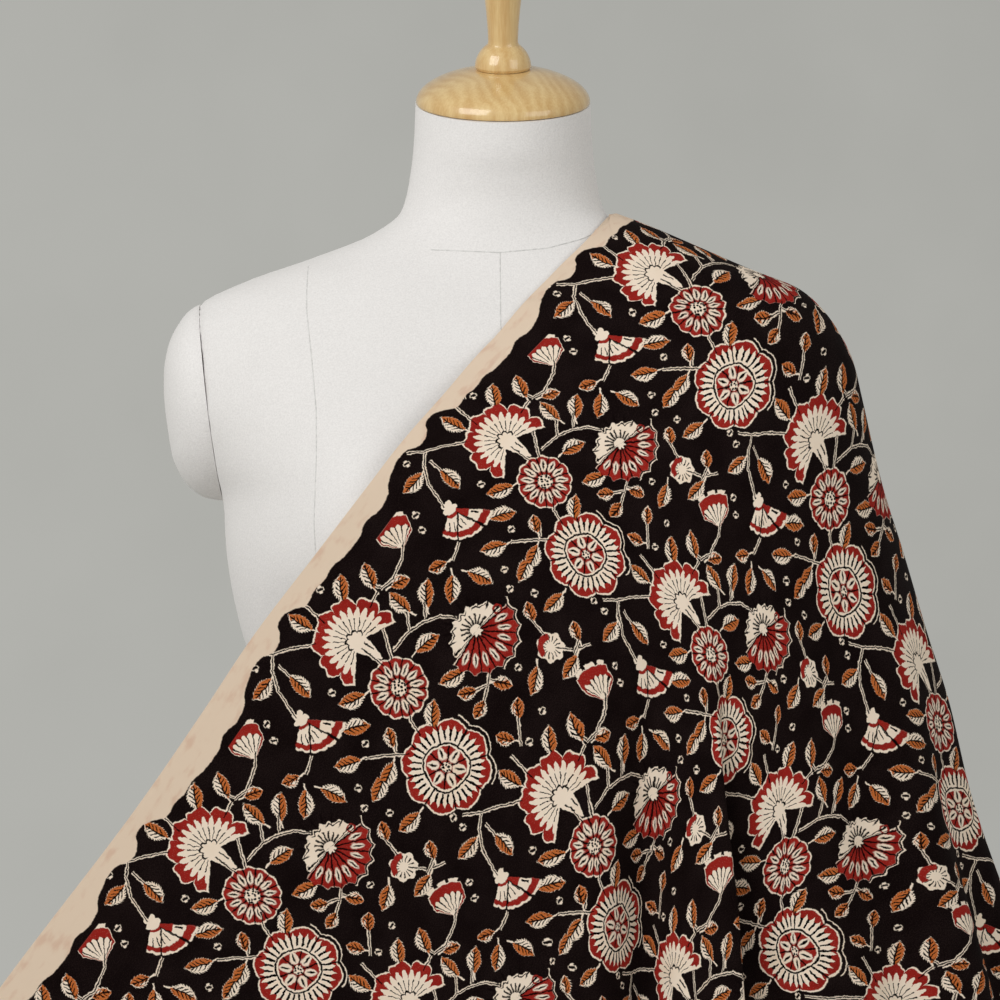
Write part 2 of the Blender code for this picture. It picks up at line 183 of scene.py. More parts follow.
FOLDS = tuple(Fold(*row) for row in (
    (0.55, 0.5, 0.3, 0.02, -0.007, 0.0, 0.09, 0.09),
    (0.99, 1.0, 0.385, 0.17, -0.027, -0.003, 0.017, 0.011),
    (1.07, 1.098, 0.39, 0.17, 0.009, 0.014, 0.022, 0.01),
    (1.128, 1.145, 0.385, 0.16, -0.018, -0.012, 0.009, 0.03),
    (1.4, 1.44, 0.5, 0.16, -0.011, 0.0, 0.02, 0.024),
    (1.58, 1.6, 0.48, 0.1, 0.008, 0.003, 0.03, 0.026),
    (1.76, 1.78, 0.38, 0.04, -0.016, 0.0, 0.024, 0.02),
    (1.92, 1.93, 0.42, 0.05, 0.01, 0.004, 0.026, 0.02),
    (2.14, 2.14, 0.5, 0.06, -0.024, 0.0, 0.024, 0.02),
    (2.36, 2.38, 0.44, 0.04, 0.012, 0.008, 0.026, 0.018),
    (2.56, 2.58, 0.52, 0.06, -0.026, -0.004, 0.02, 0.024),
    (2.8, 2.84, 0.46, 0.04, 0.012, 0.0, 0.026, 0.026),
    (3.2, 3.24, 0.48, 0.06, -0.014, 0.0, 0.02, 0.024),
))
# Where rosettes of the print lie on the drape: their number in the repeat, across and up
ROSETTES = (
    ((0, 0), 0.142, 0.501), ((1, 0), 0.051, 0.399), ((2, 0), -0.033, 0.271), ((3, 0), -0.122, 0.149),
    ((0, 1), 0.207, 0.3735), ((1, 1), 0.134, 0.285), ((2, 1), 0.069, 0.175),
    ((0, 2), 0.286, 0.2395), ((1, 2), 0.1745, 0.159),
)
# Points of the front half of the cloth lie before this y
FRONT_SIDE = -0.01
# Where the print is not eased: first, last and step along the selvedge, then the same further in
HELD_SELVEDGE = (-0.6, 0.85, 0.10)
HELD_HEM = (-0.6, -0.25, 0.15)
HELD_ACROSS = 0.25
# Quarters round the cloth, and the share of its columns that stand before each of them
COLUMN_SHARES = (
    (0.0, 0.0), (0.84, 11.0), (0.89, 1.4), (1.04, 9.0), (1.19, 11.0), (1.24, 1.8), (2.0, 15.0),
    (3.0, 15.0), (4.0, 8.0),
)
# Heights of the hanging rows: first, last and how many
ROW_SPANS = ((0.018, 0.380, 75), (0.385, 0.550, 38), (0.5535, 0.6110, 30))
HEM_ROWS = (Spread(0.0011, 0.044), Spread(0.0011, 0.026), Spread(0.0030, 0.012), Spread(0.0110, 0.0045))


# ---------------- shared geometry


def smooth_column(rows: Sequence[NamedTuple], name: str, heights: np.ndarray) -> np.ndarray:
    """Values of one column on a smooth curve that keeps the rows' order.

    Args:
        rows: the table, its first field being the height.
        name: the column's name.
        heights: where the values are wanted.

    Returns:
        The values, in the shape of heights.
    """
    knots = np.array([row[0] for row in rows])
    values = np.array([getattr(row, name) for row in rows])
    steps = np.diff(knots)
    slopes = np.diff(values) / steps
    tangents = np.zeros_like(values)
    tangents[0], tangents[-1] = slopes[0], slopes[-1]
    for i in range(1, len(values) - 1):
        if slopes[i - 1] * slopes[i] > 0.0:
            w1 = 2.0 * steps[i] + steps[i - 1]
            w2 = steps[i] + 2.0 * steps[i - 1]
            tangents[i] = (w1 + w2) / (w1 / slopes[i - 1] + w2 / slopes[i])
    i = np.clip(np.searchsorted(knots, heights) - 1, 0, len(steps) - 1)
    t = np.clip((heights - knots[i]) / steps[i], 0.0, 1.0)
    return ((2 * t**3 - 3 * t**2 + 1) * values[i] + (t**3 - 2 * t**2 + t) * steps[i] * tangents[i]
            + (3 * t**2 - 2 * t**3) * values[i + 1] + (t**3 - t**2) * steps[i] * tangents[i + 1])


def smooth_step(value: np.ndarray) -> np.ndarray:
    """Ease from 0 to 1 as value goes from 0 to 1."""
    t = np.clip(value, 0.0, 1.0)
    return t * t * (3.0 - 2.0 * t)


def grid_faces(rows: int, columns: int, closed: bool, start: int = 0) -> list[tuple[int, ...]]:
    """Quads of a grid of vertices.

    Args:
        rows: number of rows.
        columns: vertices in a row.
        closed: whether each row is a ring.
        start: the index of the first vertex.

    Returns:
        The quads, facing out where rows run upward and columns anticlockwise from above.
    """
    faces = []
    for r in range(rows - 1):
        for c in range(columns if closed else columns - 1):
            a, b = start + r * columns + c, start + r * columns + (c + 1) % columns
            faces.append((a, b, b + columns, a + columns))
    return faces


def add_piece(name: str, vertices: np.ndarray, faces: list, material: bpy.types.Material,
              sharp: float = 40.0) -> bpy.types.Object:
    """One mesh object that rides on the form's body.

    Args:
        name: the piece's name.
        vertices: the points, one row each.
        faces: tuples of indices.
        material: the piece's finish.
        sharp: edges that turn more than this many degrees stay sharp.

    Returns:
        The new object.
    """
    mesh = bpy.data.meshes.new(name)
    mesh.from_pydata(np.asarray(vertices).tolist(), [], faces)
    work = bmesh.new()
    work.from_mesh(mesh)
    bmesh.ops.recalc_face_normals(work, faces=work.faces)
    work.to_mesh(mesh)
    work.free()
    mesh.shade_smooth()
    mesh.set_sharp_from_angle(angle=math.radians(sharp))
    mesh.materials.append(material)
    piece = bpy.data.objects.new(name, mesh)
    bpy.context.scene.collection.objects.link(piece)
    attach(piece, BODY)
    return piece


def ring_stack(name: str, rings: Sequence[np.ndarray], material: bpy.types.Material,
               sharp: float = 40.0) -> bpy.types.Object:
    """A closed piece of stacked rings with flat ends.

    Args:
        name: the piece's name.
        rings: points of each ring, all of the same count.
        material: the piece's finish.
        sharp: edges that turn more than this many degrees stay sharp.

    Returns:
        The new object.
    """
    count = len(rings[0])
    faces = grid_faces(len(rings), count, closed=True)
    top = (len(rings) - 1) * count
    faces += [tuple(reversed(range(count))), tuple(range(top, top + count))]
    return add_piece(name, np.concatenate(rings), faces, material, sharp)


def tree_of(objects: Sequence[bpy.types.Object]) -> BVHTree:
    """One search tree over the meshes of several objects.

    Args:
        objects: the mesh objects.

    Returns:
        The tree, in world coordinates.
    """
    vertices, polygons = [], []
    for item in objects:
        start = len(vertices)
        vertices += [item.matrix_world @ v.co for v in item.data.vertices]
        polygons += [[start + i for i in face.vertices] for face in item.data.polygons]
    return BVHTree.FromPolygons(vertices, polygons)


# ---------------- worked-out materials

Number = Union[float, "Value"]


def linear(step: int) -> float:
    """One channel of a colour without its display curve."""
    share = step / 255.0
    return share / 12.92 if share <= 0.04045 else ((share + 0.055) / 1.055) ** 2.4


def srgb(red: int, green: int, blue: int) -> Colour:
    """A colour given in the usual 0..255 steps, as the shader wants it."""
    return linear(red), linear(green), linear(blue), 1.0


class Value:
    """A number, vector or colour that a material works out at each point."""

    def __init__(self, tree: bpy.types.NodeTree, socket: bpy.types.NodeSocket) -> None:
        """Keep the tree and the output that carries the value."""
        self.tree = tree
        self.socket = socket

    def node(self, kind: str, inputs: Sequence, output: Union[int, str] = 0, **settings: object) -> "Value":
        """A new node fed with the given inputs.

        Args:
            kind: the node's type.
            inputs: values or constants by position, None to leave one as it is.
            output: which output is wanted.
            settings: properties of the node, such as its operation.

        Returns:
            The node's output.
        """
        made = self.tree.nodes.new(kind)
        for name, setting in settings.items():
            setattr(made, name, setting)
        for place, given in enumerate(inputs):
            if isinstance(given, Value):
                self.tree.links.new(given.socket, made.inputs[place])
            elif given is not None:
                made.inputs[place].default_value = given
        return Value(self.tree, made.outputs[output])

    def math(self, operation: str, *others: Number) -> "Value":
        """A Math node with this value first."""
        return self.node("ShaderNodeMath", (self, *others), operation=operation)

    def vector(self, operation: str, *others: object, output: str = "Vector") -> "Value":
        """A Vector Math node with this value first."""
        return self.node("ShaderNodeVectorMath", (self, *others), output, operation=operation)

    def __add__(self, other: Number) -> "Value":
        """Sum."""
        return self.math("ADD", other)

    def __sub__(self, other: Number) -> "Value":
        """Difference."""
        return self.math("SUBTRACT", other)

    def __mul__(self, other: Number) -> "Value":
        """Product."""
        return self.math("MULTIPLY", other)

    def __or__(self, other: "Value") -> "Value":
        """Of two shapes, either: the lesser distance from an edge."""
        return self.math("MINIMUM", other)

    def __and__(self, other: "Value") -> "Value":
        """Of two shapes, both: the greater distance from an edge."""
        return self.math("MAXIMUM", other)

    def without(self, other: "Value") -> "Value":
        """This shape less another one."""
        return self & other.scaled(-1.0)

    def scaled(self, factor: Number, plus: Number = 0.0) -> "Value":
        """The value times a factor, plus a term."""
        return self.math("MULTIPLY_ADD", factor, plus)

    def size(self) -> "Value":
        """Its magnitude, whatever its sign."""
        return self.math("ABSOLUTE")

    def line(self, half: float, out: float = 0.0) -> "Value":
        """A line this wide on either side of a shape's edge, or that far outside it."""
        edge = self - out if out else self
        return edge.size() - half

    def range(self, low: float, high: float, first: float = 0.0, last: float = 1.0) -> "Value":
        """The value taken smoothly from low..high to first..last.

        Args:
            low: the value that gives first.
            high: the value that gives last.
            first: what is given at low and before it.
            last: what is given at high and past it.

        Returns:
            The new value.
        """
        ends = (self, low, high, first, last)
        return self.node("ShaderNodeMapRange", ends, interpolation_type="SMOOTHSTEP")

    def inside(self, soft: float) -> "Value":
        """1 inside a shape and 0 outside, over an edge this soft."""
        return self.range(soft, -soft)

    def parts(self) -> tuple["Value", "Value", "Value"]:
        """Its x, y and z."""
        split = self.node("ShaderNodeSeparateXYZ", (self,))
        return tuple(Value(self.tree, out) for out in split.socket.node.outputs)

    def noise(self, scale: float, detail: float = 2.0, output: str = "Fac", rough: float = 0.5) -> "Value":
        """Noise over this vector.

        Args:
            scale: how many of its largest lumps fit in a metre.
            detail: how many finer octaves it has.
            output: "Fac" for a number or "Color" for three of them.
            rough: how strong the finer octaves are.

        Returns:
            The noise.
        """
        made = self.node("ShaderNodeTexNoise", (), output)
        node = made.socket.node
        self.tree.links.new(self.socket, node.inputs["Vector"])
        for name, given in (("Scale", scale), ("Detail", detail), ("Roughness", rough)):
            node.inputs[name].default_value = given
        return made

    def mixed_from(self, first: object, last: object) -> "Value":
        """One colour turning to another as this value goes from 0 to 1."""
        inputs = (self, None, None, None, None, None, first, last)
        return self.node("ShaderNodeMix", inputs, 2, data_type="RGBA")

    def mixed(self, other: object, factor: "Value") -> "Value":
        """This colour turning to another one as factor goes from 0 to 1."""
        return factor.mixed_from(self, other)


class Fade(NamedTuple):
    """A value from low to high, taken to first and last."""

    low: float
    high: float
    first: float = 0.0
    last: float = 1.0


class Finish:
    """A material with one Principled shader, built up by the finish that uses it."""

    def __init__(self, name: str) -> None:
        """Start the material.

        Args:
            name: the material's name.
        """
        self.material = bpy.data.materials.new(name)
        self.material.use_nodes = True
        self.tree = self.material.node_tree
        self.shader = self.tree.nodes["Principled BSDF"]
        self.shader.inputs["Metallic"].default_value = 0.0

    def coordinate(self, kind: str = "Object") -> Value:
        """One of the texture coordinates."""
        return Value(self.tree, self.tree.nodes.new("ShaderNodeTexCoord").outputs[kind])

    def attribute(self, name: str) -> Value:
        """A number that the mesh carries at each vertex.

        Args:
            name: the attribute's name.

        Returns:
            The number.
        """
        node = self.tree.nodes.new("ShaderNodeAttribute")
        node.attribute_name = name
        return Value(self.tree, node.outputs["Fac"])

    def flat_place(self, layer: str) -> Value:
        """The place on the flat cloth.

        Args:
            layer: the UV layer that it is read from.

        Returns:
            The place, in metres.
        """
        node = self.tree.nodes.new("ShaderNodeUVMap")
        node.uv_map = layer
        return Value(self.tree, node.outputs["UV"])

    def plain(self, **sockets: Union[float, Colour]) -> None:
        """Set shader inputs that are the same all over; underscores stand for spaces."""
        for name, given in sockets.items():
            self.shader.inputs[name.replace("_", " ")].default_value = given

    def feed(self, value: Value, socket: str) -> None:
        """Link a worked-out value to one of the shader's inputs."""
        self.tree.links.new(value.socket, self.shader.inputs[socket])

    def bump(self, height: Value, distance: float) -> None:
        """Let a height stand out of the surface.

        Args:
            height: the height, from 0 to 1.
            distance: how far 1 stands out, in metres.
        """
        node = self.tree.nodes.new("ShaderNodeBump")
        self.tree.links.new(height.socket, node.inputs["Height"])
        node.inputs["Distance"].default_value = distance
        self.feed(Value(self.tree, node.outputs["Normal"]), "Normal")


@dataclass(frozen=True)
class CoverFinish:
    """The form's cover: a close white knit, a little fuzzy."""

    colour: Colour = srgb(240, 237, 236)
    shade: Colour = srgb(224, 221, 220)
    thread: float = 0.0010
    relief: float = 0.00018
    fuzz: float = 0.35
    patch_scale: float = 14.0
    patch_share: float = 0.25
    fade: Fade = Fade(0.2, 0.8)

    def build(self) -> bpy.types.Material:
        """Make the material.

        Returns:
            The white cover.
        """
        finish = Finish("white_cover")
        place = finish.coordinate()
        grain = place.noise(1.0 / self.thread, 2.0)
        patch = place.noise(self.patch_scale, 3.0)
        tone = grain.scaled(1.0 - self.patch_share, patch * self.patch_share)
        finish.feed(tone.range(*self.fade).mixed_from(self.colour, self.shade), "Base Color")
        finish.bump(grain.scaled(1.0, place.noise(self.fuzz / self.thread, 1.0)), self.relief)
        finish.plain(Roughness=0.9, Sheen_Weight=0.12, Sheen_Roughness=0.5, Specular_IOR_Level=0.15)
        return finish.material


@dataclass(frozen=True)
class WoodFinish:
    """Varnished pine, its grain running up the turned piece."""

    pale: Colour = srgb(234, 205, 148)
    dark: Colour = srgb(200, 155, 90)
    ring: float = 0.0085
    slant: float = 0.35
    stretch: float = 0.12
    swirl: float = 16.0
    swirl_scale: float = 38.0
    fibre_scale: float = 900.0
    fibre_stretch: float = 0.3
    ring_share: float = 0.10
    fibre_share: float = 0.55
    swirl_share: Pair = (0.7, -0.12)
    relief: float = 0.00005

    def build(self) -> bpy.types.Material:
        """Make the material.

        Returns:
            The varnished wood.
        """
        finish = Finish("varnished_pine")
        place = finish.coordinate()
        upright = place.node("ShaderNodeVectorRotate", (place, ORIGIN, (1.0, 0.0, 0.0), -NECK_TILT))
        drawn = upright.vector("MULTIPLY", (1.0, 1.0, self.stretch))
        swirl = drawn.noise(self.swirl_scale, 2.0)
        x, y, _ = drawn.parts()
        rings = (x + y * self.slant) * (2.0 * math.pi / self.ring)
        grain = (rings + swirl * self.swirl).math("SINE")
        fibre = drawn.vector("MULTIPLY", (1.0, 1.0, self.fibre_stretch)).noise(self.fibre_scale, 2.0)
        share = grain.scaled(self.ring_share, fibre * self.fibre_share) + swirl.scaled(*self.swirl_share)
        finish.feed(share.range(0.0, 1.0).mixed_from(self.pale, self.dark), "Base Color")
        finish.plain(Roughness=0.32, Coat_Weight=0.9, Coat_Roughness=0.06)
        finish.bump(fibre, self.relief)
        return finish.material


@dataclass(frozen=True)
class SeamFinish:
    """The sunken thread line of the form's seams."""

    colour: Colour = srgb(206, 205, 203)
    gap: Colour = srgb(224, 223, 221)
    stitch_scale: float = 420.0
    fade: Fade = Fade(0.35, 0.65)

    def build(self) -> bpy.types.Material:
        """Make the material.

        Returns:
            The seam's thread.
        """
        finish = Finish("seam_thread")
        place = finish.coordinate()
        stitch = place.noise(self.stitch_scale, 1.0).range(*self.fade)
        finish.feed(stitch.mixed_from(self.colour, self.gap), "Base Color")
        finish.plain(Roughness=0.95)
        return finish.material


@dataclass(frozen=True)
class FloorFinish:
    """A plain pale floor."""

    colour: Colour = srgb(196, 196, 191)

    def build(self) -> bpy.types.Material:
        """Make the material.

        Returns:
            The floor's finish.
        """
        finish = Finish("pale_floor")
        finish.plain(Base_Color=self.colour, Roughness=0.9)
        return finish.material


# ---------------- the block print


class Sprig(NamedTuple):
    """Where one carved leaf, cross or length of stem stands in the repeat, and its turn."""

    along: float
    across: float
    turn: float


# Shares of the repeat, counted from the big rosette; turn in degrees from base to tip
LEAVES = tuple(Sprig(*place) for place in (
    (-0.39, 0.487, -98), (-0.48, -0.45, -145), (0.448, -0.371, 32), (0.345, -0.31, 101),
    (0.22, -0.176, 11), (0.252, -0.001, -12), (-0.33, -0.34, 160), (-0.277, -0.178, -28),
    (-0.123, -0.169, -146), (-0.308, 0.268, -136), (-0.407, 0.326, -122), (-0.105, 0.222, -85),
    (0.416, 0.192, 1), (-0.455, 0.099, 22), (0.157, -0.177, 10), (0.19, 0.252, -6),
    (0.087, 0.357, 80), (0.016, -0.449, -33), (0.087, -0.385, 142), (0.223, -0.328, -38),
))
SMALL_LEAVES = tuple(Sprig(*place) for place in (
    (0.343, -0.068, -125), (-0.373, -0.006, 118), (-0.263, -0.1, -44), (-0.243, -0.023, 4),
    (-0.331, 0.094, -143), (-0.211, 0.119, -68), (0.04, -0.255, -131), (0.287, 0.127, -127),
    (0.411, -0.47, -30), (-0.46, 0.44, 148),
))
CROSSES = tuple(Sprig(*place) for place in (
    (0.269, -0.246, 10), (0.316, -0.182, 40), (0.271, -0.091, 0), (-0.454, 0.013, 20),
    (-0.378, 0.183, 45), (-0.259, 0.205, 15), (0.29, 0.334, 30), (0.325, 0.392, 5),
    (0.14, 0.18, 25), (0.039, 0.47, 12), (0.117, -0.318, 33), (0.133, 0.125, 50),
))
# Stems of the print as lines through given points, in shares of the repeat
VINES = (
    ((-0.466, -0.306), (-0.44, -0.352), (-0.385, -0.393), (-0.325, -0.42), (-0.223, -0.43)),
    ((-0.33, -0.422), (-0.37, -0.46)), ((-0.4, -0.393), (-0.44, -0.425)),
    ((-0.215, -0.43), (-0.265, -0.492)), ((-0.165, -0.44), (-0.166, -0.5)),
    ((0.385, 0.11), (0.352, 0.166), (0.29, 0.205)), ((0.355, 0.17), (0.315, 0.16)),
    ((0.379, 0.02), (0.367, -0.03)), ((-0.364, -0.068), (-0.337, -0.053), (-0.28, -0.03)),
    ((-0.337, -0.053), (-0.295, -0.078)), ((-0.35, -0.06), (-0.362, -0.035)),
    ((-0.305, 0.115), (-0.24, 0.175)), ((-0.175, 0.195), (-0.165, 0.278)),
    ((0.424, 0.37), (0.455, 0.391), (0.49, 0.4), (0.546, 0.412), (0.614, 0.392), (0.678, 0.402)),
    ((0.6, 0.39), (0.61, 0.35)), ((0.1, 0.155), (0.055, 0.205), (0.0, 0.245), (-0.06, 0.3)),
    ((0.06, 0.21), (0.11, 0.24), (0.16, 0.3), (0.195, 0.395)), ((0.075, 0.235), (0.085, 0.3)),
    ((-0.083, -0.251), (-0.057, -0.225), (-0.04, -0.178)),
    ((0.158, -0.284), (0.111, -0.235), (0.06, -0.175)), ((0.07, -0.205), (0.045, -0.225)),
    ((0.283, -0.459), (0.353, -0.437)),
)
# Where the dark ground ends toward the selvedge: share of the repeat, metres from the edge
SELVEDGE_WAVE = (
    (0.0, 0.0157), (0.03, 0.0162), (0.06, 0.015), (0.1, 0.0114), (0.14, 0.0108), (0.18, 0.012),
    (0.24, 0.0145), (0.3, 0.0196), (0.35, 0.0205), (0.42, 0.0183), (0.49, 0.0209), (0.58, 0.0206),
    (0.65, 0.0183), (0.7, 0.0188), (0.76, 0.0172), (0.81, 0.0181), (0.84, 0.0157), (0.88, 0.0112),
    (0.93, 0.009), (0.97, 0.0128), (1.0, 0.0157),
)


class Layer(Enum):
    """What each carved block leaves on the cloth."""

    CREAM = "cream"
    RED = "red"
    RUST = "rust"
    LINE = "line"


class Wavy(NamedTuple):
    """A length that follows a wave: swell times the wave, plus a base."""

    swell: float
    base: float


class Band(NamedTuple):
    """A ring round a flower, or a slice of it: its middle and half its width."""

    middle: float
    half: float


class Oval(NamedTuple):
    """An oval that points at a flower's middle: how far out it lies, and half its length and width."""

    middle: float
    length: float
    width: float


class Carving:
    """Shapes gathered for each block, as distances from their edges in millimetres."""

    def __init__(self, place: Value, tile: Pair) -> None:
        """Start with empty blocks.

        Args:
            place: the point in the repeat, in the carving's millimetres.
            tile: width and depth of the repeat, in the same.
        """
        self.place = place
        self.tile = tile
        self.shapes: dict[Layer, Value] = {}

    def cut(self, layer: Layer, shape: Value) -> None:
        """Add a shape to a block."""
        held = self.shapes.get(layer)
        self.shapes[layer] = shape if held is None else held | shape

    def keep(self, region: Value) -> None:
        """Leave out all that has been drawn so far beyond a region."""
        for layer, shape in self.shapes.items():
            self.shapes[layer] = shape & region

    def about(self, along: float, across: float, mark: float = 0.0) -> Value:
        """The point seen from a middle in the repeat, the nearest repeat being taken.

        Args:
            along: the middle, as a share of the repeat.
            across: the same, away from the selvedge.
            mark: a small number to carry as the third coordinate.

        Returns:
            The point, in millimetres.
        """
        half = 0.5 * self.tile[0], 0.5 * self.tile[1], 10.0
        moved = self.place.vector("ADD", (-along * self.tile[0], -across * self.tile[1], mark))
        return moved.vector("WRAP", half, tuple(-side for side in half))

    def nearest(self, marks: Sequence[Sprig]) -> tuple[Value, Value]:
        """The point seen from the nearest of several turned marks.

        Args:
            marks: where the marks stand, and their turn.

        Returns:
            How far it lies along and beside that mark.
        """
        best, least = None, None
        for mark in marks:
            seen = self.about(mark.along, mark.across, math.radians(mark.turn) * CARRIED_TURN)
            far = seen.vector("LENGTH", output="Value")
            if best is None:
                best, least = seen, far
                continue
            nearer = far.math("LESS_THAN", least)
            best = best.node("ShaderNodeMix", (nearer, None, None, None, best, seen), 1, data_type="VECTOR")
            least = least | far
        _, _, carried = best.parts()
        turned = best.node("ShaderNodeVectorRotate", (best, ORIGIN, None, carried * (-1.0 / CARRIED_TURN)),
                           rotation_type="Z_AXIS")
        x, y, _ = turned.parts()
        return x, y


class Flower:
    """Round coordinates about a flower's middle."""

    def __init__(self, block: Carving, middle: Pair, turn: float = 0.0) -> None:
        """Find radius and angle about the middle.

        Args:
            block: the carving that the flower belongs to.
            middle: shares of the repeat along the selvedge and across.
            turn: direction from which the angle is counted, in degrees.
        """
        self.local = block.about(*middle)
        x, y, _ = self.local.parts()
        self.radius = self.local.vector("LENGTH", output="Value")
        angle = y.math("ARCTAN2", x)
        self.angle = angle if turn == 0.0 else (angle - math.radians(turn)).math("WRAP", math.pi, -math.pi)
        self.bearing = self.angle.size()

    def wave(self, times: float, shift: float = 0.0) -> Value:
        """Cosine of a multiple of the angle."""
        turned = self.angle * times if shift == 0.0 else self.angle.scaled(times, shift)
        return turned.math("COSINE")

    def within(self, radius: Number) -> Value:
        """The disc of that radius."""
        return self.radius - radius

    def beyond(self, radius: float) -> Value:
        """All but the disc of that radius."""
        return self.radius.scaled(-1.0, radius)

    def ring(self, band: Band) -> Value:
        """A ring round the middle."""
        return (self.radius - band.middle).line(band.half)

    def facing(self, half: float, steep: float) -> Value:
        """The part within an angle of the flower's direction, its edge this steep."""
        return self.bearing.scaled(steep, -steep * half)

    def slice(self, band: Band, steep: float) -> Value:
        """The part within an angle of a given one, its edge this steep."""
        return (self.angle - band.middle).size().scaled(steep, -steep * band.half)

    def beside(self, wave: Value, times: float) -> Value:
        """Distance from the nearest of the rays where a wave of that many times is nought."""
        return (wave * self.radius).size() * (1.0 / times)

    def ovals(self, ray: Value, oval: Oval) -> Value:
        """Ovals that point at the middle, one on each ray.

        Args:
            ray: distance sideways from the nearest ray.
            oval: their place and size.

        Returns:
            The shape.
        """
        out = self.radius.scaled(1.0 / oval.length, -oval.middle / oval.length)
        side = ray * (1.0 / oval.width)
        return ((out * out) + (side * side)).math("SQRT").scaled(oval.width, -oval.width)

    def dots(self, spacing: float, fill: float = 0.30) -> Value:
        """Small dots spread through the flower's core.

        Args:
            spacing: distance between them.
            fill: a dot's radius as a share of that.

        Returns:
            The shape.
        """
        cells = self.local.node("ShaderNodeTexVoronoi", (self.local, None, 1.0 / spacing), "Distance",
                                voronoi_dimensions="2D")
        return cells.scaled(spacing, -fill * spacing)


class Motif:
    """Something carved into the blocks."""

    def carve(self, block: Carving) -> None:
        """Cut it into the blocks."""
        raise NotImplementedError


@dataclass(frozen=True)
class BigRosette(Motif):
    """Eight broad petals, a crown of cream rays and a red middle with six ovals."""

    middle: Pair = (0.0, -0.010)
    turn: float = 28.0
    petals: int = 8
    petal: Wavy = Wavy(3.4, 25.8)
    rim: float = 1.2
    gap: float = 0.42
    gap_inset: float = 0.5
    rays: int = 32
    ray: Wavy = Wavy(-3.8, 24.7)
    hatch: Wavy = Wavy(-4.0, 3.48)
    hatch_ring: Band = Band(18.9, 2.9)
    heart_wobble: float = 3.5
    heart: Wavy = Wavy(0.7, 12.7)
    heart_inset: float = 1.6
    heart_line: float = 0.46
    oval: Oval = Oval(8.4, 4.0, 2.2)
    slit: Oval = Oval(8.6, 2.3, 0.6)
    ovals: int = 6
    oval_gap: float = 0.40
    core: float = 3.0
    dot_spacing: float = 2.0
    echo_out: float = 2.3
    echo_line: float = 0.62
    echo_part: Band = Band(2.2, 0.85)

    def carve(self, block: Carving) -> None:
        """Cut it into the blocks.

        Args:
            block: where its shapes go.
        """
        flower = Flower(block, self.middle, self.turn)
        petals = flower.wave(0.5 * self.petals)
        outline = flower.within(petals.size().scaled(*self.petal))
        gaps = flower.beside(petals, 0.5 * self.petals) - self.gap
        rays = flower.wave(0.5 * self.rays).size()
        tips = flower.within(rays.scaled(*self.ray))
        hatch = rays.scaled(*self.hatch) & flower.ring(self.hatch_ring)
        heart = flower.within(flower.wave(self.heart_wobble).scaled(*self.heart))
        times = 0.5 * self.ovals
        ray = flower.beside(flower.wave(times), times)
        between = flower.beside(flower.wave(times, 0.5 * math.pi), times) - self.oval_gap
        core = flower.within(self.core)
        echo = outline.line(self.echo_line, self.echo_out) & flower.slice(self.echo_part, STEEP)
        block.cut(Layer.CREAM, outline | echo)
        block.cut(Layer.RED, (outline + self.rim).without(tips)
                  | heart.without(flower.ovals(ray, self.oval)).without(core))
        edge = heart.line(self.heart_line, self.heart_inset)
        block.cut(Layer.LINE, (gaps & (outline + self.gap_inset)).without(heart - self.heart_inset)
                  | hatch | edge)
        block.cut(Layer.LINE, flower.ovals(ray, self.slit) | (between & heart).without(core)
                  | (flower.dots(self.dot_spacing) & core))


@dataclass(frozen=True)
class SmallRosette(Motif):
    """A red disc of slim petals, each with an oval."""

    middle: Pair = (-0.130, -0.332)
    petals: int = 13
    petal: Wavy = Wavy(1.3, 17.7)
    rim: float = 1.1
    gap: float = 0.33
    gap_inset: float = 0.7
    oval: Oval = Oval(11.4, 3.9, 1.5)
    slit: Oval = Oval(11.6, 2.3, 0.42)
    core: float = 4.9
    dot_spacing: float = 2.2

    def carve(self, block: Carving) -> None:
        """Cut it into the blocks.

        Args:
            block: where its shapes go.
        """
        flower = Flower(block, self.middle)
        times = 0.5 * self.petals
        petals = flower.wave(times)
        outline = flower.within(petals.size().scaled(*self.petal))
        gaps = flower.beside(petals, times) - self.gap
        ray = flower.beside(flower.wave(times, 0.5 * math.pi), times)
        core = flower.within(self.core)
        block.cut(Layer.CREAM, outline)
        block.cut(Layer.RED, (outline + self.rim).without(flower.ovals(ray, self.oval)).without(core))
        between = (gaps & (outline + self.gap_inset)).without(core)
        block.cut(Layer.LINE, between | flower.ovals(ray, self.slit)
                  | (flower.dots(self.dot_spacing) & core))


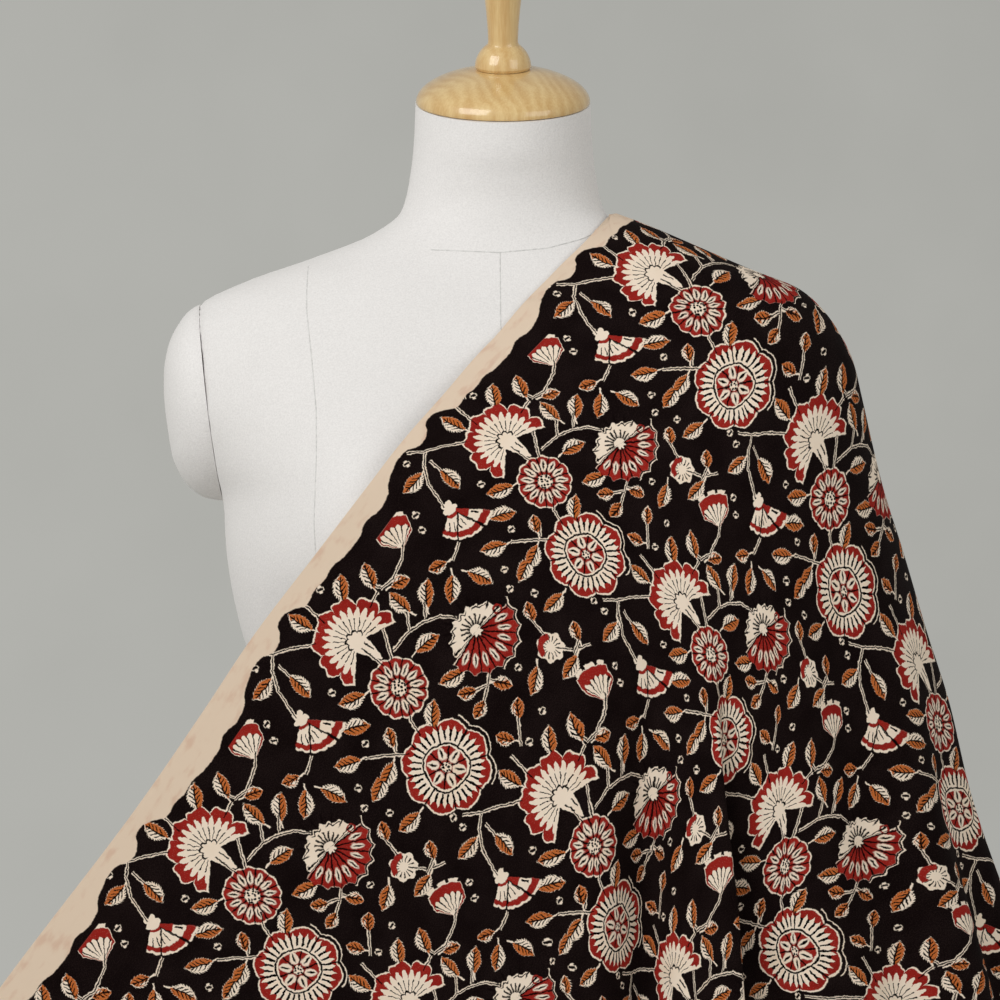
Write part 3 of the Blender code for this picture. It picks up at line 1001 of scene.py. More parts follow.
@dataclass(frozen=True)
class Carnation(Motif):
    """A half-open carnation: a cloud at its heart, cream rays, a red rim and a tapering neck."""

    middle: Pair = (-0.178, 0.437)
    turn: float = -88.0
    opening: float = math.radians(121.0)
    opening_steep: float = 18.0
    lobes: Pair = (4.74, -0.08)
    lobe_roundness: float = 0.3
    lobe_swell: float = 6.0
    rim: Wavy = Wavy(0.9, 21.8)
    rim_waves: float = 17.0
    rim_width: float = 1.25
    rays: float = 12.4
    ray: Wavy = Wavy(5.8, 15.4)
    stroke: Wavy = Wavy(4.6, -1.3)
    stroke_ring: Band = Band(10.6, 3.9)
    stroke_inset: float = 2.0
    cloud_lobes: float = 4.5
    cloud: Wavy = Wavy(1.6, 5.2)
    arc_line: float = 0.5
    arc_reach: float = 1.7
    arc_steep: float = 6.0
    neck_length: float = 19.0
    neck: Wavy = Wavy(0.42, -8.6)
    crease: float = 2.0
    crease_line: float = 0.34
    crease_ring: Band = Band(8.2, 3.2)

    def carve(self, block: Carving) -> None:
        """Cut it into the blocks.

        Args:
            block: where its shapes go.
        """
        flower = Flower(block, self.middle, self.turn)
        open_side = flower.facing(self.opening, self.opening_steep)
        lobes = flower.wave(*self.lobes).size().math("POWER", self.lobe_roundness)
        reach = lobes.scaled(self.lobe_swell, flower.wave(self.rim_waves).scaled(*self.rim))
        rim = flower.within(reach) & open_side
        rays = flower.wave(self.rays).size()
        tips = flower.within(rays.scaled(*self.ray)) & open_side
        strokes = rays.scaled(*self.stroke) & flower.ring(self.stroke_ring) & (open_side + self.stroke_inset)
        cloud = flower.within(flower.wave(self.cloud_lobes).size().scaled(*self.cloud))
        arc = cloud.line(self.arc_line) & flower.facing(self.arc_reach, self.arc_steep)
        aside = flower.bearing.scaled(-1.0, math.pi) * flower.radius
        neck = flower.within(self.neck_length) & (aside + flower.radius.scaled(*self.neck))
        creases = aside.line(self.crease_line, self.crease) & flower.ring(self.crease_ring)
        block.cut(Layer.CREAM, rim | cloud | neck)
        block.cut(Layer.RED, (rim + self.rim_width).without(tips).without(cloud))
        block.cut(Layer.LINE, strokes | arc | creases)


@dataclass(frozen=True)
class HalfDaisy(Motif):
    """Red petals on one half, and a cream, ragged half behind them with a small curl."""

    middle: Pair = (-0.475, -0.202)
    turn: float = 82.0
    red_reach: float = math.radians(84.0)
    petals: int = 18
    petal: Wavy = Wavy(-2.4, 27.4)
    petal_gap: float = 0.36
    gap_inset: float = 0.4
    red_inset: Pair = (0.3, 0.6)
    oval: Oval = Oval(17.8, 4.2, 1.5)
    slit: Oval = Oval(18.0, 2.6, 0.45)
    hub: Wavy = Wavy(0.8, 3.4)
    hub_waves: float = 8.0
    veil_angles: Pair = (1.75, 2.45)
    veil_reach: Pair = (20.5, 14.8)
    veil_waves: Pair = (16.0, 5.0)
    veil_ragged: Pair = (0.9, 0.8)
    veil_inset: float = 1.7
    fleck: Wavy = Wavy(1.0, -0.3)
    fleck_waves: float = 7.0
    stroke_ring: Band = Band(7.0, 3.0)
    stroke: float = 0.40
    stroke_outset: float = 1.4
    echo_out: float = 1.3
    echo_line: float = 0.62
    echo_part: Band = Band(0.7, 0.9)
    curl: Triple = (-18.3, 3.4, 0.0)
    curl_ring: Band = Band(2.5, 0.75)

    def carve(self, block: Carving) -> None:
        """Cut it into the blocks.

        Args:
            block: where its shapes go.
        """
        flower = Flower(block, self.middle, self.turn)
        times = 0.5 * self.petals
        red_side = flower.facing(self.red_reach, STEEP)
        petals = flower.wave(times)
        outline = flower.within(petals.size().scaled(*self.petal))
        ray = flower.beside(petals, times)
        between = flower.beside(flower.wave(times, 0.5 * math.pi), times)
        hub = flower.within(flower.wave(self.hub_waves).scaled(*self.hub))
        ragged, uneven = (flower.wave(times) for times in self.veil_waves)
        reach = flower.bearing.range(*self.veil_angles, *self.veil_reach)
        reach = reach + ragged.scaled(self.veil_ragged[0], uneven * self.veil_ragged[1])
        veil = flower.within(reach).without(red_side)
        echo = outline.line(self.echo_line, self.echo_out) & flower.slice(self.echo_part, STEEP)
        curl = flower.local.vector("SUBTRACT", self.curl).vector("LENGTH", output="Value")
        block.cut(Layer.CREAM, (outline & red_side) | echo | veil)
        red = (outline + self.red_inset[0]) & (red_side + self.red_inset[1])
        block.cut(Layer.RED, red.without(flower.ovals(ray, self.oval)).without(hub))
        block.cut(Layer.RED, (curl - self.curl_ring.middle).line(self.curl_ring.half))
        gaps = (between - self.petal_gap) & (outline + self.gap_inset) & red_side
        block.cut(Layer.LINE, gaps.without(hub) | flower.ovals(ray, self.slit))
        strokes = (between - self.stroke) & flower.ring(self.stroke_ring)
        flecks = ((veil + self.veil_inset).line(self.petal_gap)
                  & flower.wave(self.fleck_waves).scaled(*self.fleck))
        block.cut(Layer.LINE, (strokes | flecks).without(red_side - self.stroke_outset))


@dataclass(frozen=True)
class Bell(Motif):
    """A nodding bell: a cream calyx and three petals with red bands and a pale hem."""

    middle: Pair = (0.193, 0.426)
    turn: float = 74.0
    reach: Wavy = Wavy(5.4, 23.2)
    reach_waves: float = 12.0
    reach_ragged: float = 0.8
    opening: float = 12.3 / 14.0
    opening_steep: float = 14.0
    throat: float = 4.4
    calyx: Wavy = Wavy(2.2, 3.4)
    calyx_lobes: float = 2.5
    upper: Wavy = Wavy(-14.0, 6.0)
    fold_line: float = 0.42
    fold_start: float = 5.0
    parting: Wavy = Wavy(0.77, -6.9)
    parting_share: float = 0.8
    parting_start: float = 6.0
    hem: float = 1.8
    pale: Wavy = Wavy(0.73, 0.4)
    pale_start: float = 6.6
    pale_end: float = 13.0
    rays: float = 12.5
    stroke: Wavy = Wavy(5.0, -1.5)
    stroke_ring: Band = Band(12.6, 2.9)
    stroke_inset: float = 0.6
    slits: Pair = (9.0, 1.0)
    slit: Wavy = Wavy(3.6, -1.1)
    slit_ring: Band = Band(16.6, 2.4)

    def carve(self, block: Carving) -> None:
        """Cut it into the blocks.

        Args:
            block: where its shapes go.
        """
        flower = Flower(block, self.middle, self.turn)
        forward = flower.wave(1.0) * flower.radius
        aside = flower.wave(1.0, -0.5 * math.pi) * flower.radius
        reach = flower.angle.scaled(*self.reach) + flower.wave(self.reach_waves).size() * self.reach_ragged
        body = flower.within(reach) & flower.facing(self.opening, self.opening_steep)
        calyx = flower.within(flower.wave(self.calyx_lobes).size().scaled(*self.calyx))
        upper = flower.angle.scaled(*self.upper)
        fold = upper.line(self.fold_line) & flower.beyond(self.fold_start)
        parting = (aside + forward.scaled(*self.parting)).size().scaled(self.parting_share, -self.fold_line)
        parting = parting & flower.beyond(self.parting_start)
        pale = flower.within(reach.scaled(*self.pale)) & flower.beyond(self.pale_start)
        pale = pale.without(flower.within(self.pale_end) & upper)
        strokes = flower.wave(self.rays).size().scaled(*self.stroke) & flower.ring(self.stroke_ring)
        strokes = strokes.without(upper - self.stroke_inset)
        slits = flower.wave(*self.slits).size().scaled(*self.slit) & flower.ring(self.slit_ring)
        red = body & flower.within(reach - self.hem) & flower.beyond(self.throat)
        block.cut(Layer.CREAM, body | calyx)
        block.cut(Layer.RED, red.without(pale))
        block.cut(Layer.LINE, ((strokes | (slits & upper) | fold) & body) | (parting & body).without(upper))


@dataclass(frozen=True)
class Tulip(Motif):
    """A bud of cream rays under a red cap with a scalloped edge."""

    middle: Pair = (0.427, 0.374)
    turn: float = -116.0
    opening: float = math.radians(50.0)
    opening_steep: float = 15.0
    half_width: float = 11.8
    rays: float = 11.0
    cup: Wavy = Wavy(2.4, 13.2)
    cup_inset: float = 1.1
    cup_rim: float = 0.2
    cap: float = 21.6
    cap_inset: float = 0.6
    cap_rim: float = 0.7
    scallop: float = 24.4
    scallop_outset: float = 1.2
    teeth: float = 8.5
    tooth: Wavy = Wavy(-4.0, 1.6)
    stroke: Wavy = Wavy(4.2, -1.35)
    stroke_ring: Band = Band(9.6, 5.4)
    stroke_inset: float = 1.0

    def carve(self, block: Carving) -> None:
        """Cut it into the blocks.

        Args:
            block: where its shapes go.
        """
        flower = Flower(block, self.middle, self.turn)
        width = flower.bearing * flower.radius - self.half_width
        spread = flower.facing(self.opening, self.opening_steep) & width
        rays = flower.wave(self.rays).size()
        cup = flower.within(rays.scaled(*self.cup)) & (spread + self.cup_inset)
        cap = flower.within(self.cap) & (spread - self.cap_inset)
        teeth = flower.wave(self.teeth).size().scaled(*self.tooth)
        scallops = flower.within(self.scallop) & (spread - self.scallop_outset) & teeth
        strokes = rays.scaled(*self.stroke) & flower.ring(self.stroke_ring) & (spread + self.stroke_inset)
        block.cut(Layer.CREAM, cup | scallops | (cap - self.cap_rim))
        block.cut(Layer.RED, cap.without(cup - self.cup_rim))
        block.cut(Layer.LINE, strokes)


@dataclass(frozen=True)
class RoundBud(Motif):
    """A small round bud, cream with a red crescent."""

    middle: Pair = (0.405, 0.079)
    turn: float = -70.0
    lobes: float = 7.0
    outline: Wavy = Wavy(0.7, 9.3)
    crescent: Band = Band(6.6, 2.0)
    crescent_reach: float = 1.125
    crescent_steep: float = 8.0
    stroke: Wavy = Wavy(2.0, -0.8)
    stroke_ring: Band = Band(5.2, 1.9)

    def carve(self, block: Carving) -> None:
        """Cut it into the blocks.

        Args:
            block: where its shapes go.
        """
        flower = Flower(block, self.middle, self.turn)
        lobes = flower.wave(self.lobes)
        crescent = flower.ring(self.crescent) & flower.facing(self.crescent_reach, self.crescent_steep)
        strokes = lobes.size().scaled(*self.stroke) & flower.ring(self.stroke_ring)
        block.cut(Layer.CREAM, flower.within(lobes.scaled(*self.outline)))
        block.cut(Layer.RED, crescent)
        block.cut(Layer.LINE, strokes.without(crescent))


@dataclass(frozen=True)
class Leaf(Motif):
    """Saw-edged leaves, rust on one side, pale on the other, with dark veins and a stalk."""

    places: Sequence[Sprig]
    half: float
    swell: float
    pale: float
    bend: float = 0.012
    tooth: float = 1.1
    tooth_pitch: float = 0.55
    tooth_lean: float = 0.3
    slimming: float = 0.9
    margins: Pair = (0.8, 1.6)
    margin_ease: float = 0.4
    tip: float = 0.8
    pale_aside: float = 0.40
    pale_back: float = 0.16
    pale_slimming: float = 0.50
    vein_pitch: float = 2.9
    vein_lean: float = -1.1
    vein: Wavy = Wavy(-0.8, 0.46)
    vein_reach: Pair = (0.66, 0.56)
    vein_inset: float = 1.2
    midrib: float = 0.36
    midrib_reach: float = 0.72
    stalk: Band = Band(1.0, 2.4)
    stalk_half_width: float = 0.8

    def carve(self, block: Carving) -> None:
        """Cut them into the blocks.

        Args:
            block: where their shapes go.
        """
        x, y = block.nearest(self.places)
        square = x * x
        bent = square.scaled(self.bend, y)
        side = bent.size()
        saw = x.scaled(self.tooth_pitch, side * self.tooth_lean).math("FRACT")
        full = (side - square.scaled(-self.swell / self.half**2, self.swell)) * self.slimming
        outline = (full + saw * self.tooth) & x.line(self.half)
        margin = bent.range(-self.margin_ease, self.margin_ease, *self.margins)
        body = (full + margin) & x.line(self.half - self.tip)
        lens = ((bent - self.pale_aside * self.swell).line(self.pale * self.swell)
                & (x + self.pale_back * self.half).size().scaled(self.pale_slimming, -self.pale * self.half))
        stripes = side.scaled(self.vein_lean, x).scaled(2.0 * math.pi / self.vein_pitch).math("SINE")
        long, wide = self.vein_reach
        veins = stripes.scaled(*self.vein) & (side - wide * self.swell) & x.line(long * self.half)
        midrib = (side - self.midrib) & x.line(self.midrib_reach * self.half)
        stalk = (side - self.stalk_half_width) & (x + self.half + self.stalk.middle).line(self.stalk.half)
        block.cut(Layer.CREAM, outline | stalk)
        block.cut(Layer.RUST, body.without(lens))
        block.cut(Layer.LINE, midrib | (veins & (outline + self.vein_inset)))


@dataclass(frozen=True)
class Crosses(Motif):
    """Little square crosses in the gaps, each with a dark eye."""

    places: Sequence[Sprig] = CROSSES
    half: float = 2.5
    corner: float = 2.7
    slant: float = 0.7
    eye: Pair = (0.55, 1.7)
    notch: Pair = (0.25, 2.1)

    def carve(self, block: Carving) -> None:
        """Cut them into the blocks.

        Args:
            block: where their shapes go.
        """
        x, y = block.nearest(self.places)
        across, up = x.size(), y.size()
        square = (across & up) - self.half & (across + up).scaled(self.slant, -self.corner)
        eye = ((x + y).size().scaled(self.slant, -self.eye[0])
               & (x - y).size().scaled(self.slant, -self.eye[1]))
        notch = (across | up).scaled(-1.0, self.notch[0]) | (across & up) - self.notch[1]
        block.cut(Layer.CREAM, (square & notch).without(eye))


@dataclass(frozen=True)
class Stems(Motif):
    """Stems: two cream lines with a thin dark one between them."""

    lines: Sequence[Sequence[Pair]] = VINES
    joint: float = 6.0
    overlap: float = 0.6
    half_width: float = 1.25
    groove: float = 0.26
    groove_aside: float = 0.1

    def joints(self, tile: Pair) -> list[Sprig]:
        """The stems as short straight lengths.

        Args:
            tile: width and depth of the repeat.

        Returns:
            The middle and turn of each length.
        """
        wide, deep = tile
        lengths = []
        for line in self.lines:
            for first, last in zip(line, line[1:]):
                run = Vector(((last[0] - first[0]) * wide, (last[1] - first[1]) * deep))
                count = max(1, math.ceil(run.length / (2.0 * self.joint)))
                for i in range(count):
                    share = (i + 0.5) / count
                    lengths.append(Sprig(first[0] + share * (last[0] - first[0]),
                                         first[1] + share * (last[1] - first[1]),
                                         math.degrees(math.atan2(run.y, run.x))))
        return lengths

    def carve(self, block: Carving) -> None:
        """Cut them into the blocks.

        Args:
            block: where their shapes go.
        """
        x, y = block.nearest(self.joints(block.tile))
        ends = x.line(self.joint + self.overlap)
        block.cut(Layer.CREAM, y.line(self.half_width) & ends)
        block.cut(Layer.LINE, y.line(self.groove, self.groove_aside) & ends)


@dataclass(frozen=True)
class BlockPrint:
    """A dense floral repeat, printed with carved blocks round a cream reserve.

    The repeat is measured along the selvedge and across the cloth, in metres, and the
    carving in millimetres of a block drawn a little larger than it prints.
    """

    repeat: Pair = (0.153, 0.150)
    start: Pair = (0.060, 0.134)
    drawn: float = 0.00095
    tuck: Pair = (0.300, 0.385)
    tuck_reach: float = 6.0
    first_row: float = 0.0235
    overhang: Band = Band(-0.04, 0.32)
    wave_height: float = 0.020
    bleed: float = 2.6
    border_bleed: float = 1.6
    soft: float = 0.26
    stamp_soft: float = 0.30
    reserve_inset: float = 0.27
    line_thinned: float = 0.14
    border_soft: float = 0.35
    thread: float = 0.00075
    thread_relief: float = 0.00006
    shake_scale: float = 330.0
    patch_scale: float = 45.0
    fleck_scale: float = 1500.0
    stain_scale: float = 60.0
    wear: Pair = (1.6, -0.8)
    red_wear: Pair = (0.7, 0.1)
    patch_share: float = 0.25
    sheen_and_wear_fade: Fade = Fade(0.42, 0.66)
    cream_fade: Fade = Fade(0.45, 0.8, 0.0, 0.5)
    rust_fleck: Fade = Fade(0.2, 0.5, 0.8, 1.0)
    red_fleck: Fade = Fade(0.2, 0.45, 0.85, 1.0)
    red_fade: Fade = Fade(0.4, 0.7, 0.0, 0.6)
    stain_fade: Fade = Fade(0.5, 0.72, 0.0, 0.45)
    ground: Colour = srgb(11, 3, 3)
    # Grey of the flecks in the dark ground: partly worn dye, partly a painted sheen on the weave
    ground_sheen_and_wear: Colour = srgb(34, 24, 23)
    cream: Colour = srgb(243, 225, 206)
    cream_warm: Colour = srgb(234, 209, 182)
    red: Colour = srgb(152, 34, 27)
    red_deep: Colour = srgb(128, 25, 22)
    rust: Colour = srgb(190, 102, 46)
    selvedge: Colour = srgb(228, 206, 184)
    selvedge_pink: Colour = srgb(208, 164, 140)
    rosette: Motif = BigRosette()
    motifs: tuple[Motif, ...] = (
        SmallRosette(), Carnation(), HalfDaisy(), Bell(), Tulip(), RoundBud(), Stems(),
        Leaf(LEAVES, 9.8, 5.7, 0.36), Leaf(SMALL_LEAVES, 7.0, 4.9, 0.16), Crosses(),
    )

    def carved(self, flat: Value, shaken: Value) -> Carving:
        """Carve every motif. The big rosette is left out of the strip before the first row.

        Args:
            flat: the place on the flat cloth, in metres.
            shaken: a small vector that roughens the carving's edges.

        Returns:
            The blocks.
        """
        place = flat.vector("SUBTRACT", (*self.start, 0.0)).vector("MULTIPLY", (1.0 / self.drawn,) * 3)
        place = shaken.vector("MULTIPLY_ADD", (self.bleed, self.bleed, 0.0), place)
        block = Carving(place, (self.repeat[0] / self.drawn, self.repeat[1] / self.drawn))
        _, across, _ = flat.parts()
        rows = across.scaled(-1.0 / self.drawn, self.first_row / self.drawn)
        self.rosette.carve(block)
        block.keep(rows)
        for motif in self.motifs:
            motif.carve(block)
        overhang, _, _ = block.about(self.overhang.middle, 0.0).parts()
        block.keep(rows | overhang.line(self.overhang.half * block.tile[0]))
        return block

    def border(self, finish: Finish, flat: Value, shaken: Value) -> Value:
        """The plain selvedge outside the scalloped edge of the ground.

        Args:
            finish: the material.
            flat: the place on the flat cloth, in metres.
            shaken: a small vector that roughens the edge.

        Returns:
            The selvedge as a shape, in millimetres.
        """
        along, _, _ = flat.parts()
        turn = ((along - self.start[0]) * (1.0 / self.repeat[0])).math("FRACT")
        curve = turn.node("ShaderNodeFloatCurve", (1.0, turn))
        mapping = curve.socket.node.mapping
        points = mapping.curves[0].points
        for share, reach in SELVEDGE_WAVE[1:-1]:
            points.new(share, reach / self.wave_height)
        for end in (0, -1):
            points[end].location = (SELVEDGE_WAVE[end][0], SELVEDGE_WAVE[end][1] / self.wave_height)
        mapping.update()
        rim = finish.attribute(RIM).scaled(MILLIMETRES, along.range(*self.tuck, self.tuck_reach, 0.0))
        return rim - curve * (self.wave_height * MILLIMETRES) + shaken.parts()[0] * self.border_bleed

    def printed(self, block: Carving, flat: Value) -> Value:
        """The colours that the blocks leave: cream reserve, rust, two reds and dark lines.

        Args:
            block: the carved shapes.
            flat: the place on the flat cloth, in metres.

        Returns:
            The colour.
        """
        patch = flat.noise(self.patch_scale, 3.0)
        fleck = flat.noise(self.fleck_scale, 2.0)
        wear = patch.scaled(*self.wear)
        # Flecks where the dark ground turns greyer: partly worn dye, partly painted sheen on the weave
        sheen_and_wear = fleck.scaled(1.0 - self.patch_share, patch * self.patch_share).range(*self.sheen_and_wear_fade)
        ground = sheen_and_wear.mixed_from(self.ground, self.ground_sheen_and_wear)
        reserve = (block.shapes[Layer.CREAM] + self.reserve_inset).inside(self.soft)
        cream = ground.mixed(self.cream, reserve)
        cream = cream.mixed(self.cream_warm, reserve * patch.range(*self.cream_fade))
        stamped = (block.shapes[Layer.RUST] + wear).inside(self.stamp_soft)
        rust = cream.mixed(self.rust, stamped * fleck.range(*self.rust_fleck))
        stamped = (block.shapes[Layer.RED] + wear.scaled(*self.red_wear)).inside(self.stamp_soft)
        red = rust.mixed(self.red, stamped * fleck.range(*self.red_fleck))
        red = red.mixed(self.red_deep, stamped * patch.range(*self.red_fade))
        return red.mixed(self.ground, (block.shapes[Layer.LINE] - self.line_thinned).inside(self.soft))

    def build(self, layer: str) -> bpy.types.Material:
        """Make the cotton's material.

        Args:
            layer: the UV layer that holds the place on the flat cloth, in metres.

        Returns:
            The material.
        """
        finish = Finish("block_printed_cotton")
        flat = finish.flat_place(layer)
        shaken = flat.noise(self.shake_scale, 3.0, "Color", 0.62).vector("SUBTRACT", (0.5, 0.5, 0.5))
        colour = self.printed(self.carved(flat, shaken), flat)
        stain = flat.vector("MULTIPLY", (1.0, 2.5, 1.0)).noise(self.stain_scale, 3.0)
        bare = stain.range(*self.stain_fade).mixed_from(self.selvedge, self.selvedge_pink)
        edge = self.border(finish, flat, shaken).inside(self.border_soft)
        finish.feed(colour.mixed(bare, edge), "Base Color")
        threads = flat.vector("MULTIPLY", (2.0 * math.pi / self.thread,) * 3)
        warp, weft, _ = threads.vector("SINE").parts()
        finish.bump(warp * weft, self.thread_relief)
        finish.plain(Roughness=0.92, Specular_IOR_Level=0.06)
        return finish.material


# ---------------- the dress form


# Seams as points across and up, seen from the front
NECK_SEAM = (
    (-0.045, 0.5885), (-0.030, 0.5878), (-0.0025, 0.5865), (0.028, 0.5895), (0.049, 0.5955), (0.062, 0.602),
)
CENTRE_SEAM = ((-0.0019, 0.5865), (-0.0015, 0.54), (-0.001, 0.40), (0.0, 0.02))
PANEL_SEAM = (
    (0.1225, 0.5795), (0.1220, 0.5520), (0.1180, 0.5210), (0.1145, 0.4870), (0.1140, 0.4590),
    (0.1150, 0.4190), (0.1120, 0.3700), (0.100, 0.300), (0.108, 0.02),
)


@dataclass
class DressForm:
    """The padded torso with its arm caps and seams."""

    cover: bpy.types.Material
    thread: bpy.types.Material
    around: int = 160
    body_top: float = 0.54
    neck_start: float = 0.5445
    body_rings: int = 90
    neck_rings: int = 40
    neck_base: float = 0.615
    neck_top: float = 0.684
    neck_top_y: float = -0.006
    bust: Pair = (0.086, 0.397)
    bust_rise: float = 0.040
    bust_width: float = 0.052
    bust_above: float = 0.068
    bust_below: float = 0.046
    bust_front: float = 0.6
    plate: tuple[float, float, float] = (0.1785, 0.443, 0.12)
    plate_low: float = 0.42
    cap_z: float = 0.4945
    cap_half_height: float = 0.0625
    cap_half_depth: float = 0.0545
    cap_y: float = 0.003
    cap_end: float = 0.11
    cap_roundness: float = 0.85
    cap_rings: int = 40
    cap_around: int = 36
    seam_radius: float = 0.00042
    seam_sunk: float = 0.25
    seam_step: float = 0.004
    seam_sides: int = 6
    seam_from: float = -0.4

    def plate_x(self, z: np.ndarray) -> np.ndarray:
        """Distance of the flat arm plate from the form's middle."""
        x, height, slope = self.plate
        return x + slope * (z - height)

    def ring(self, z: float) -> np.ndarray:
        """One section of the torso; above the neck's base it leans with the neck's top.

        Args:
            z: the section's height.

        Returns:
            Its points, anticlockwise from above.
        """
        level = np.array(z)
        half_width, front, back, power = (
            float(smooth_column(TORSO_ROWS, name, level)) for name in TorsoRow._fields[1:])
        angle = 2.0 * math.pi * np.arange(self.around) / self.around
        x = half_width * np.sign(np.cos(angle)) * np.abs(np.cos(angle)) ** (2.0 / power)
        y = np.sign(np.sin(angle)) * np.abs(np.sin(angle)) ** (2.0 / power)
        y = np.where(y > 0.0, y * back, y * front)
        fall = self.bust_above if z > self.bust[1] else self.bust_below
        rise = sum(np.exp(-((x - side * self.bust[0]) / self.bust_width) ** 2) for side in (-1.0, 1.0))
        rise = rise * self.bust_rise * math.exp(-((z - self.bust[1]) / fall) ** 2)
        y = np.where(y < 0.0, y - rise * smooth_step(-y / (self.bust_front * front)), y)
        if z > self.plate_low:
            limit = float(self.plate_x(level))
            x = np.clip(x, -limit, limit)
        share = float(smooth_step(np.array((z - self.neck_base) / (self.neck_top - self.neck_base))))
        lean = math.tan(NECK_TILT) * share
        return np.stack([x, y, z + lean * (y - self.neck_top_y)], axis=1)

    def make_torso(self) -> bpy.types.Object:
        """Torso and neck in one, flat under the hips.

        Returns:
            The torso.
        """
        heights = np.concatenate([np.linspace(0.0, self.body_top, self.body_rings),
                                  np.linspace(self.neck_start, self.neck_top, self.neck_rings)])
        torso = ring_stack("torso_cover", [self.ring(float(z)) for z in heights], self.cover, 50.0)
        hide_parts("form_torso")
        return torso

    def make_arm_cap(self, name: str, side: float, node: str) -> bpy.types.Object:
        """A domed cap on an arm plate.

        Args:
            name: the piece's name.
            side: +1 or -1 along X.
            node: the solid that it stands for.

        Returns:
            The cap.
        """
        turns = np.linspace(self.cap_end, math.pi - self.cap_end, self.cap_rings)
        rises = -self.cap_half_height * np.cos(turns)
        reaches = smooth_column(ARM_CAP_ROWS, "reach", rises)
        angle = math.pi * (np.arange(self.cap_around + 1) / self.cap_around - 0.5)
        rings = []
        for rise, reach in zip(rises, reaches):
            z = self.cap_z + rise
            depth = self.cap_half_depth * math.sqrt(1.0 - (rise / self.cap_half_height) ** 2)
            x = float(self.plate_x(np.array(z))) + SEAT_GAP + reach * np.cos(angle) ** self.cap_roundness
            y = self.cap_y + depth * np.sin(angle)
            rings.append(np.stack([side * x, y, np.full_like(angle, z)], axis=1))
        cap = ring_stack(name, rings, self.cover, sharp=60.0)
        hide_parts(node)
        return cap

    def make_seam(self, name: str, path: Sequence[Pair], tree: BVHTree) -> None:
        """A seam drawn down the front of the form.

        Args:
            name: the piece's name.
            path: its points across and up, seen from the front.
            tree: the form's surface.
        """
        points = np.array(path)
        length = np.concatenate([[0.0], np.cumsum(np.linalg.norm(np.diff(points, axis=0), axis=1))])
        fine = np.linspace(0.0, length[-1], max(int(length[-1] / self.seam_step), 4))
        spots = []
        for x, z in zip(np.interp(fine, length, points[:, 0]), np.interp(fine, length, points[:, 1])):
            hit, normal, _, _ = tree.ray_cast(Vector((x, self.seam_from, z)), Vector((0.0, 1.0, 0.0)))
            if hit is not None:
                spots.append(hit - normal * (self.seam_sunk * self.seam_radius))
        rings = []
        turns = [2.0 * math.pi * i / self.seam_sides for i in range(self.seam_sides)]
        for i, spot in enumerate(spots):
            along = (spots[min(i + 1, len(spots) - 1)] - spots[max(i - 1, 0)]).normalized()
            side = along.cross(Vector((0.0, 1.0, 0.0))).normalized()
            out = side.cross(along)
            rings.append(np.array([spot + (side * math.cos(a) + out * math.sin(a)) * self.seam_radius
                                   for a in turns]))
        seam = ring_stack(name, rings, self.thread, sharp=80.0)

    def build(self) -> list[bpy.types.Object]:
        """Make the form.

        Returns:
            The pieces that the cloth lies on.
        """
        pieces = [self.make_torso(), self.make_arm_cap("arm_cap_bare", -1.0, "arm_cap_right"),
                  self.make_arm_cap("arm_cap_covered", 1.0, "arm_cap_left")]
        LOG.info("form cover: %d pieces", len(pieces))
        tree = tree_of(pieces[:1])
        self.make_seam("seam_neck", NECK_SEAM, tree)
        self.make_seam("seam_centre", CENTRE_SEAM, tree)
        for side, name in ((-1.0, "seam_panel_bare"), (1.0, "seam_panel_covered")):
            self.make_seam(name, tuple((side * x, z) for x, z in PANEL_SEAM), tree)
        return pieces


# ---------------- the turned wood


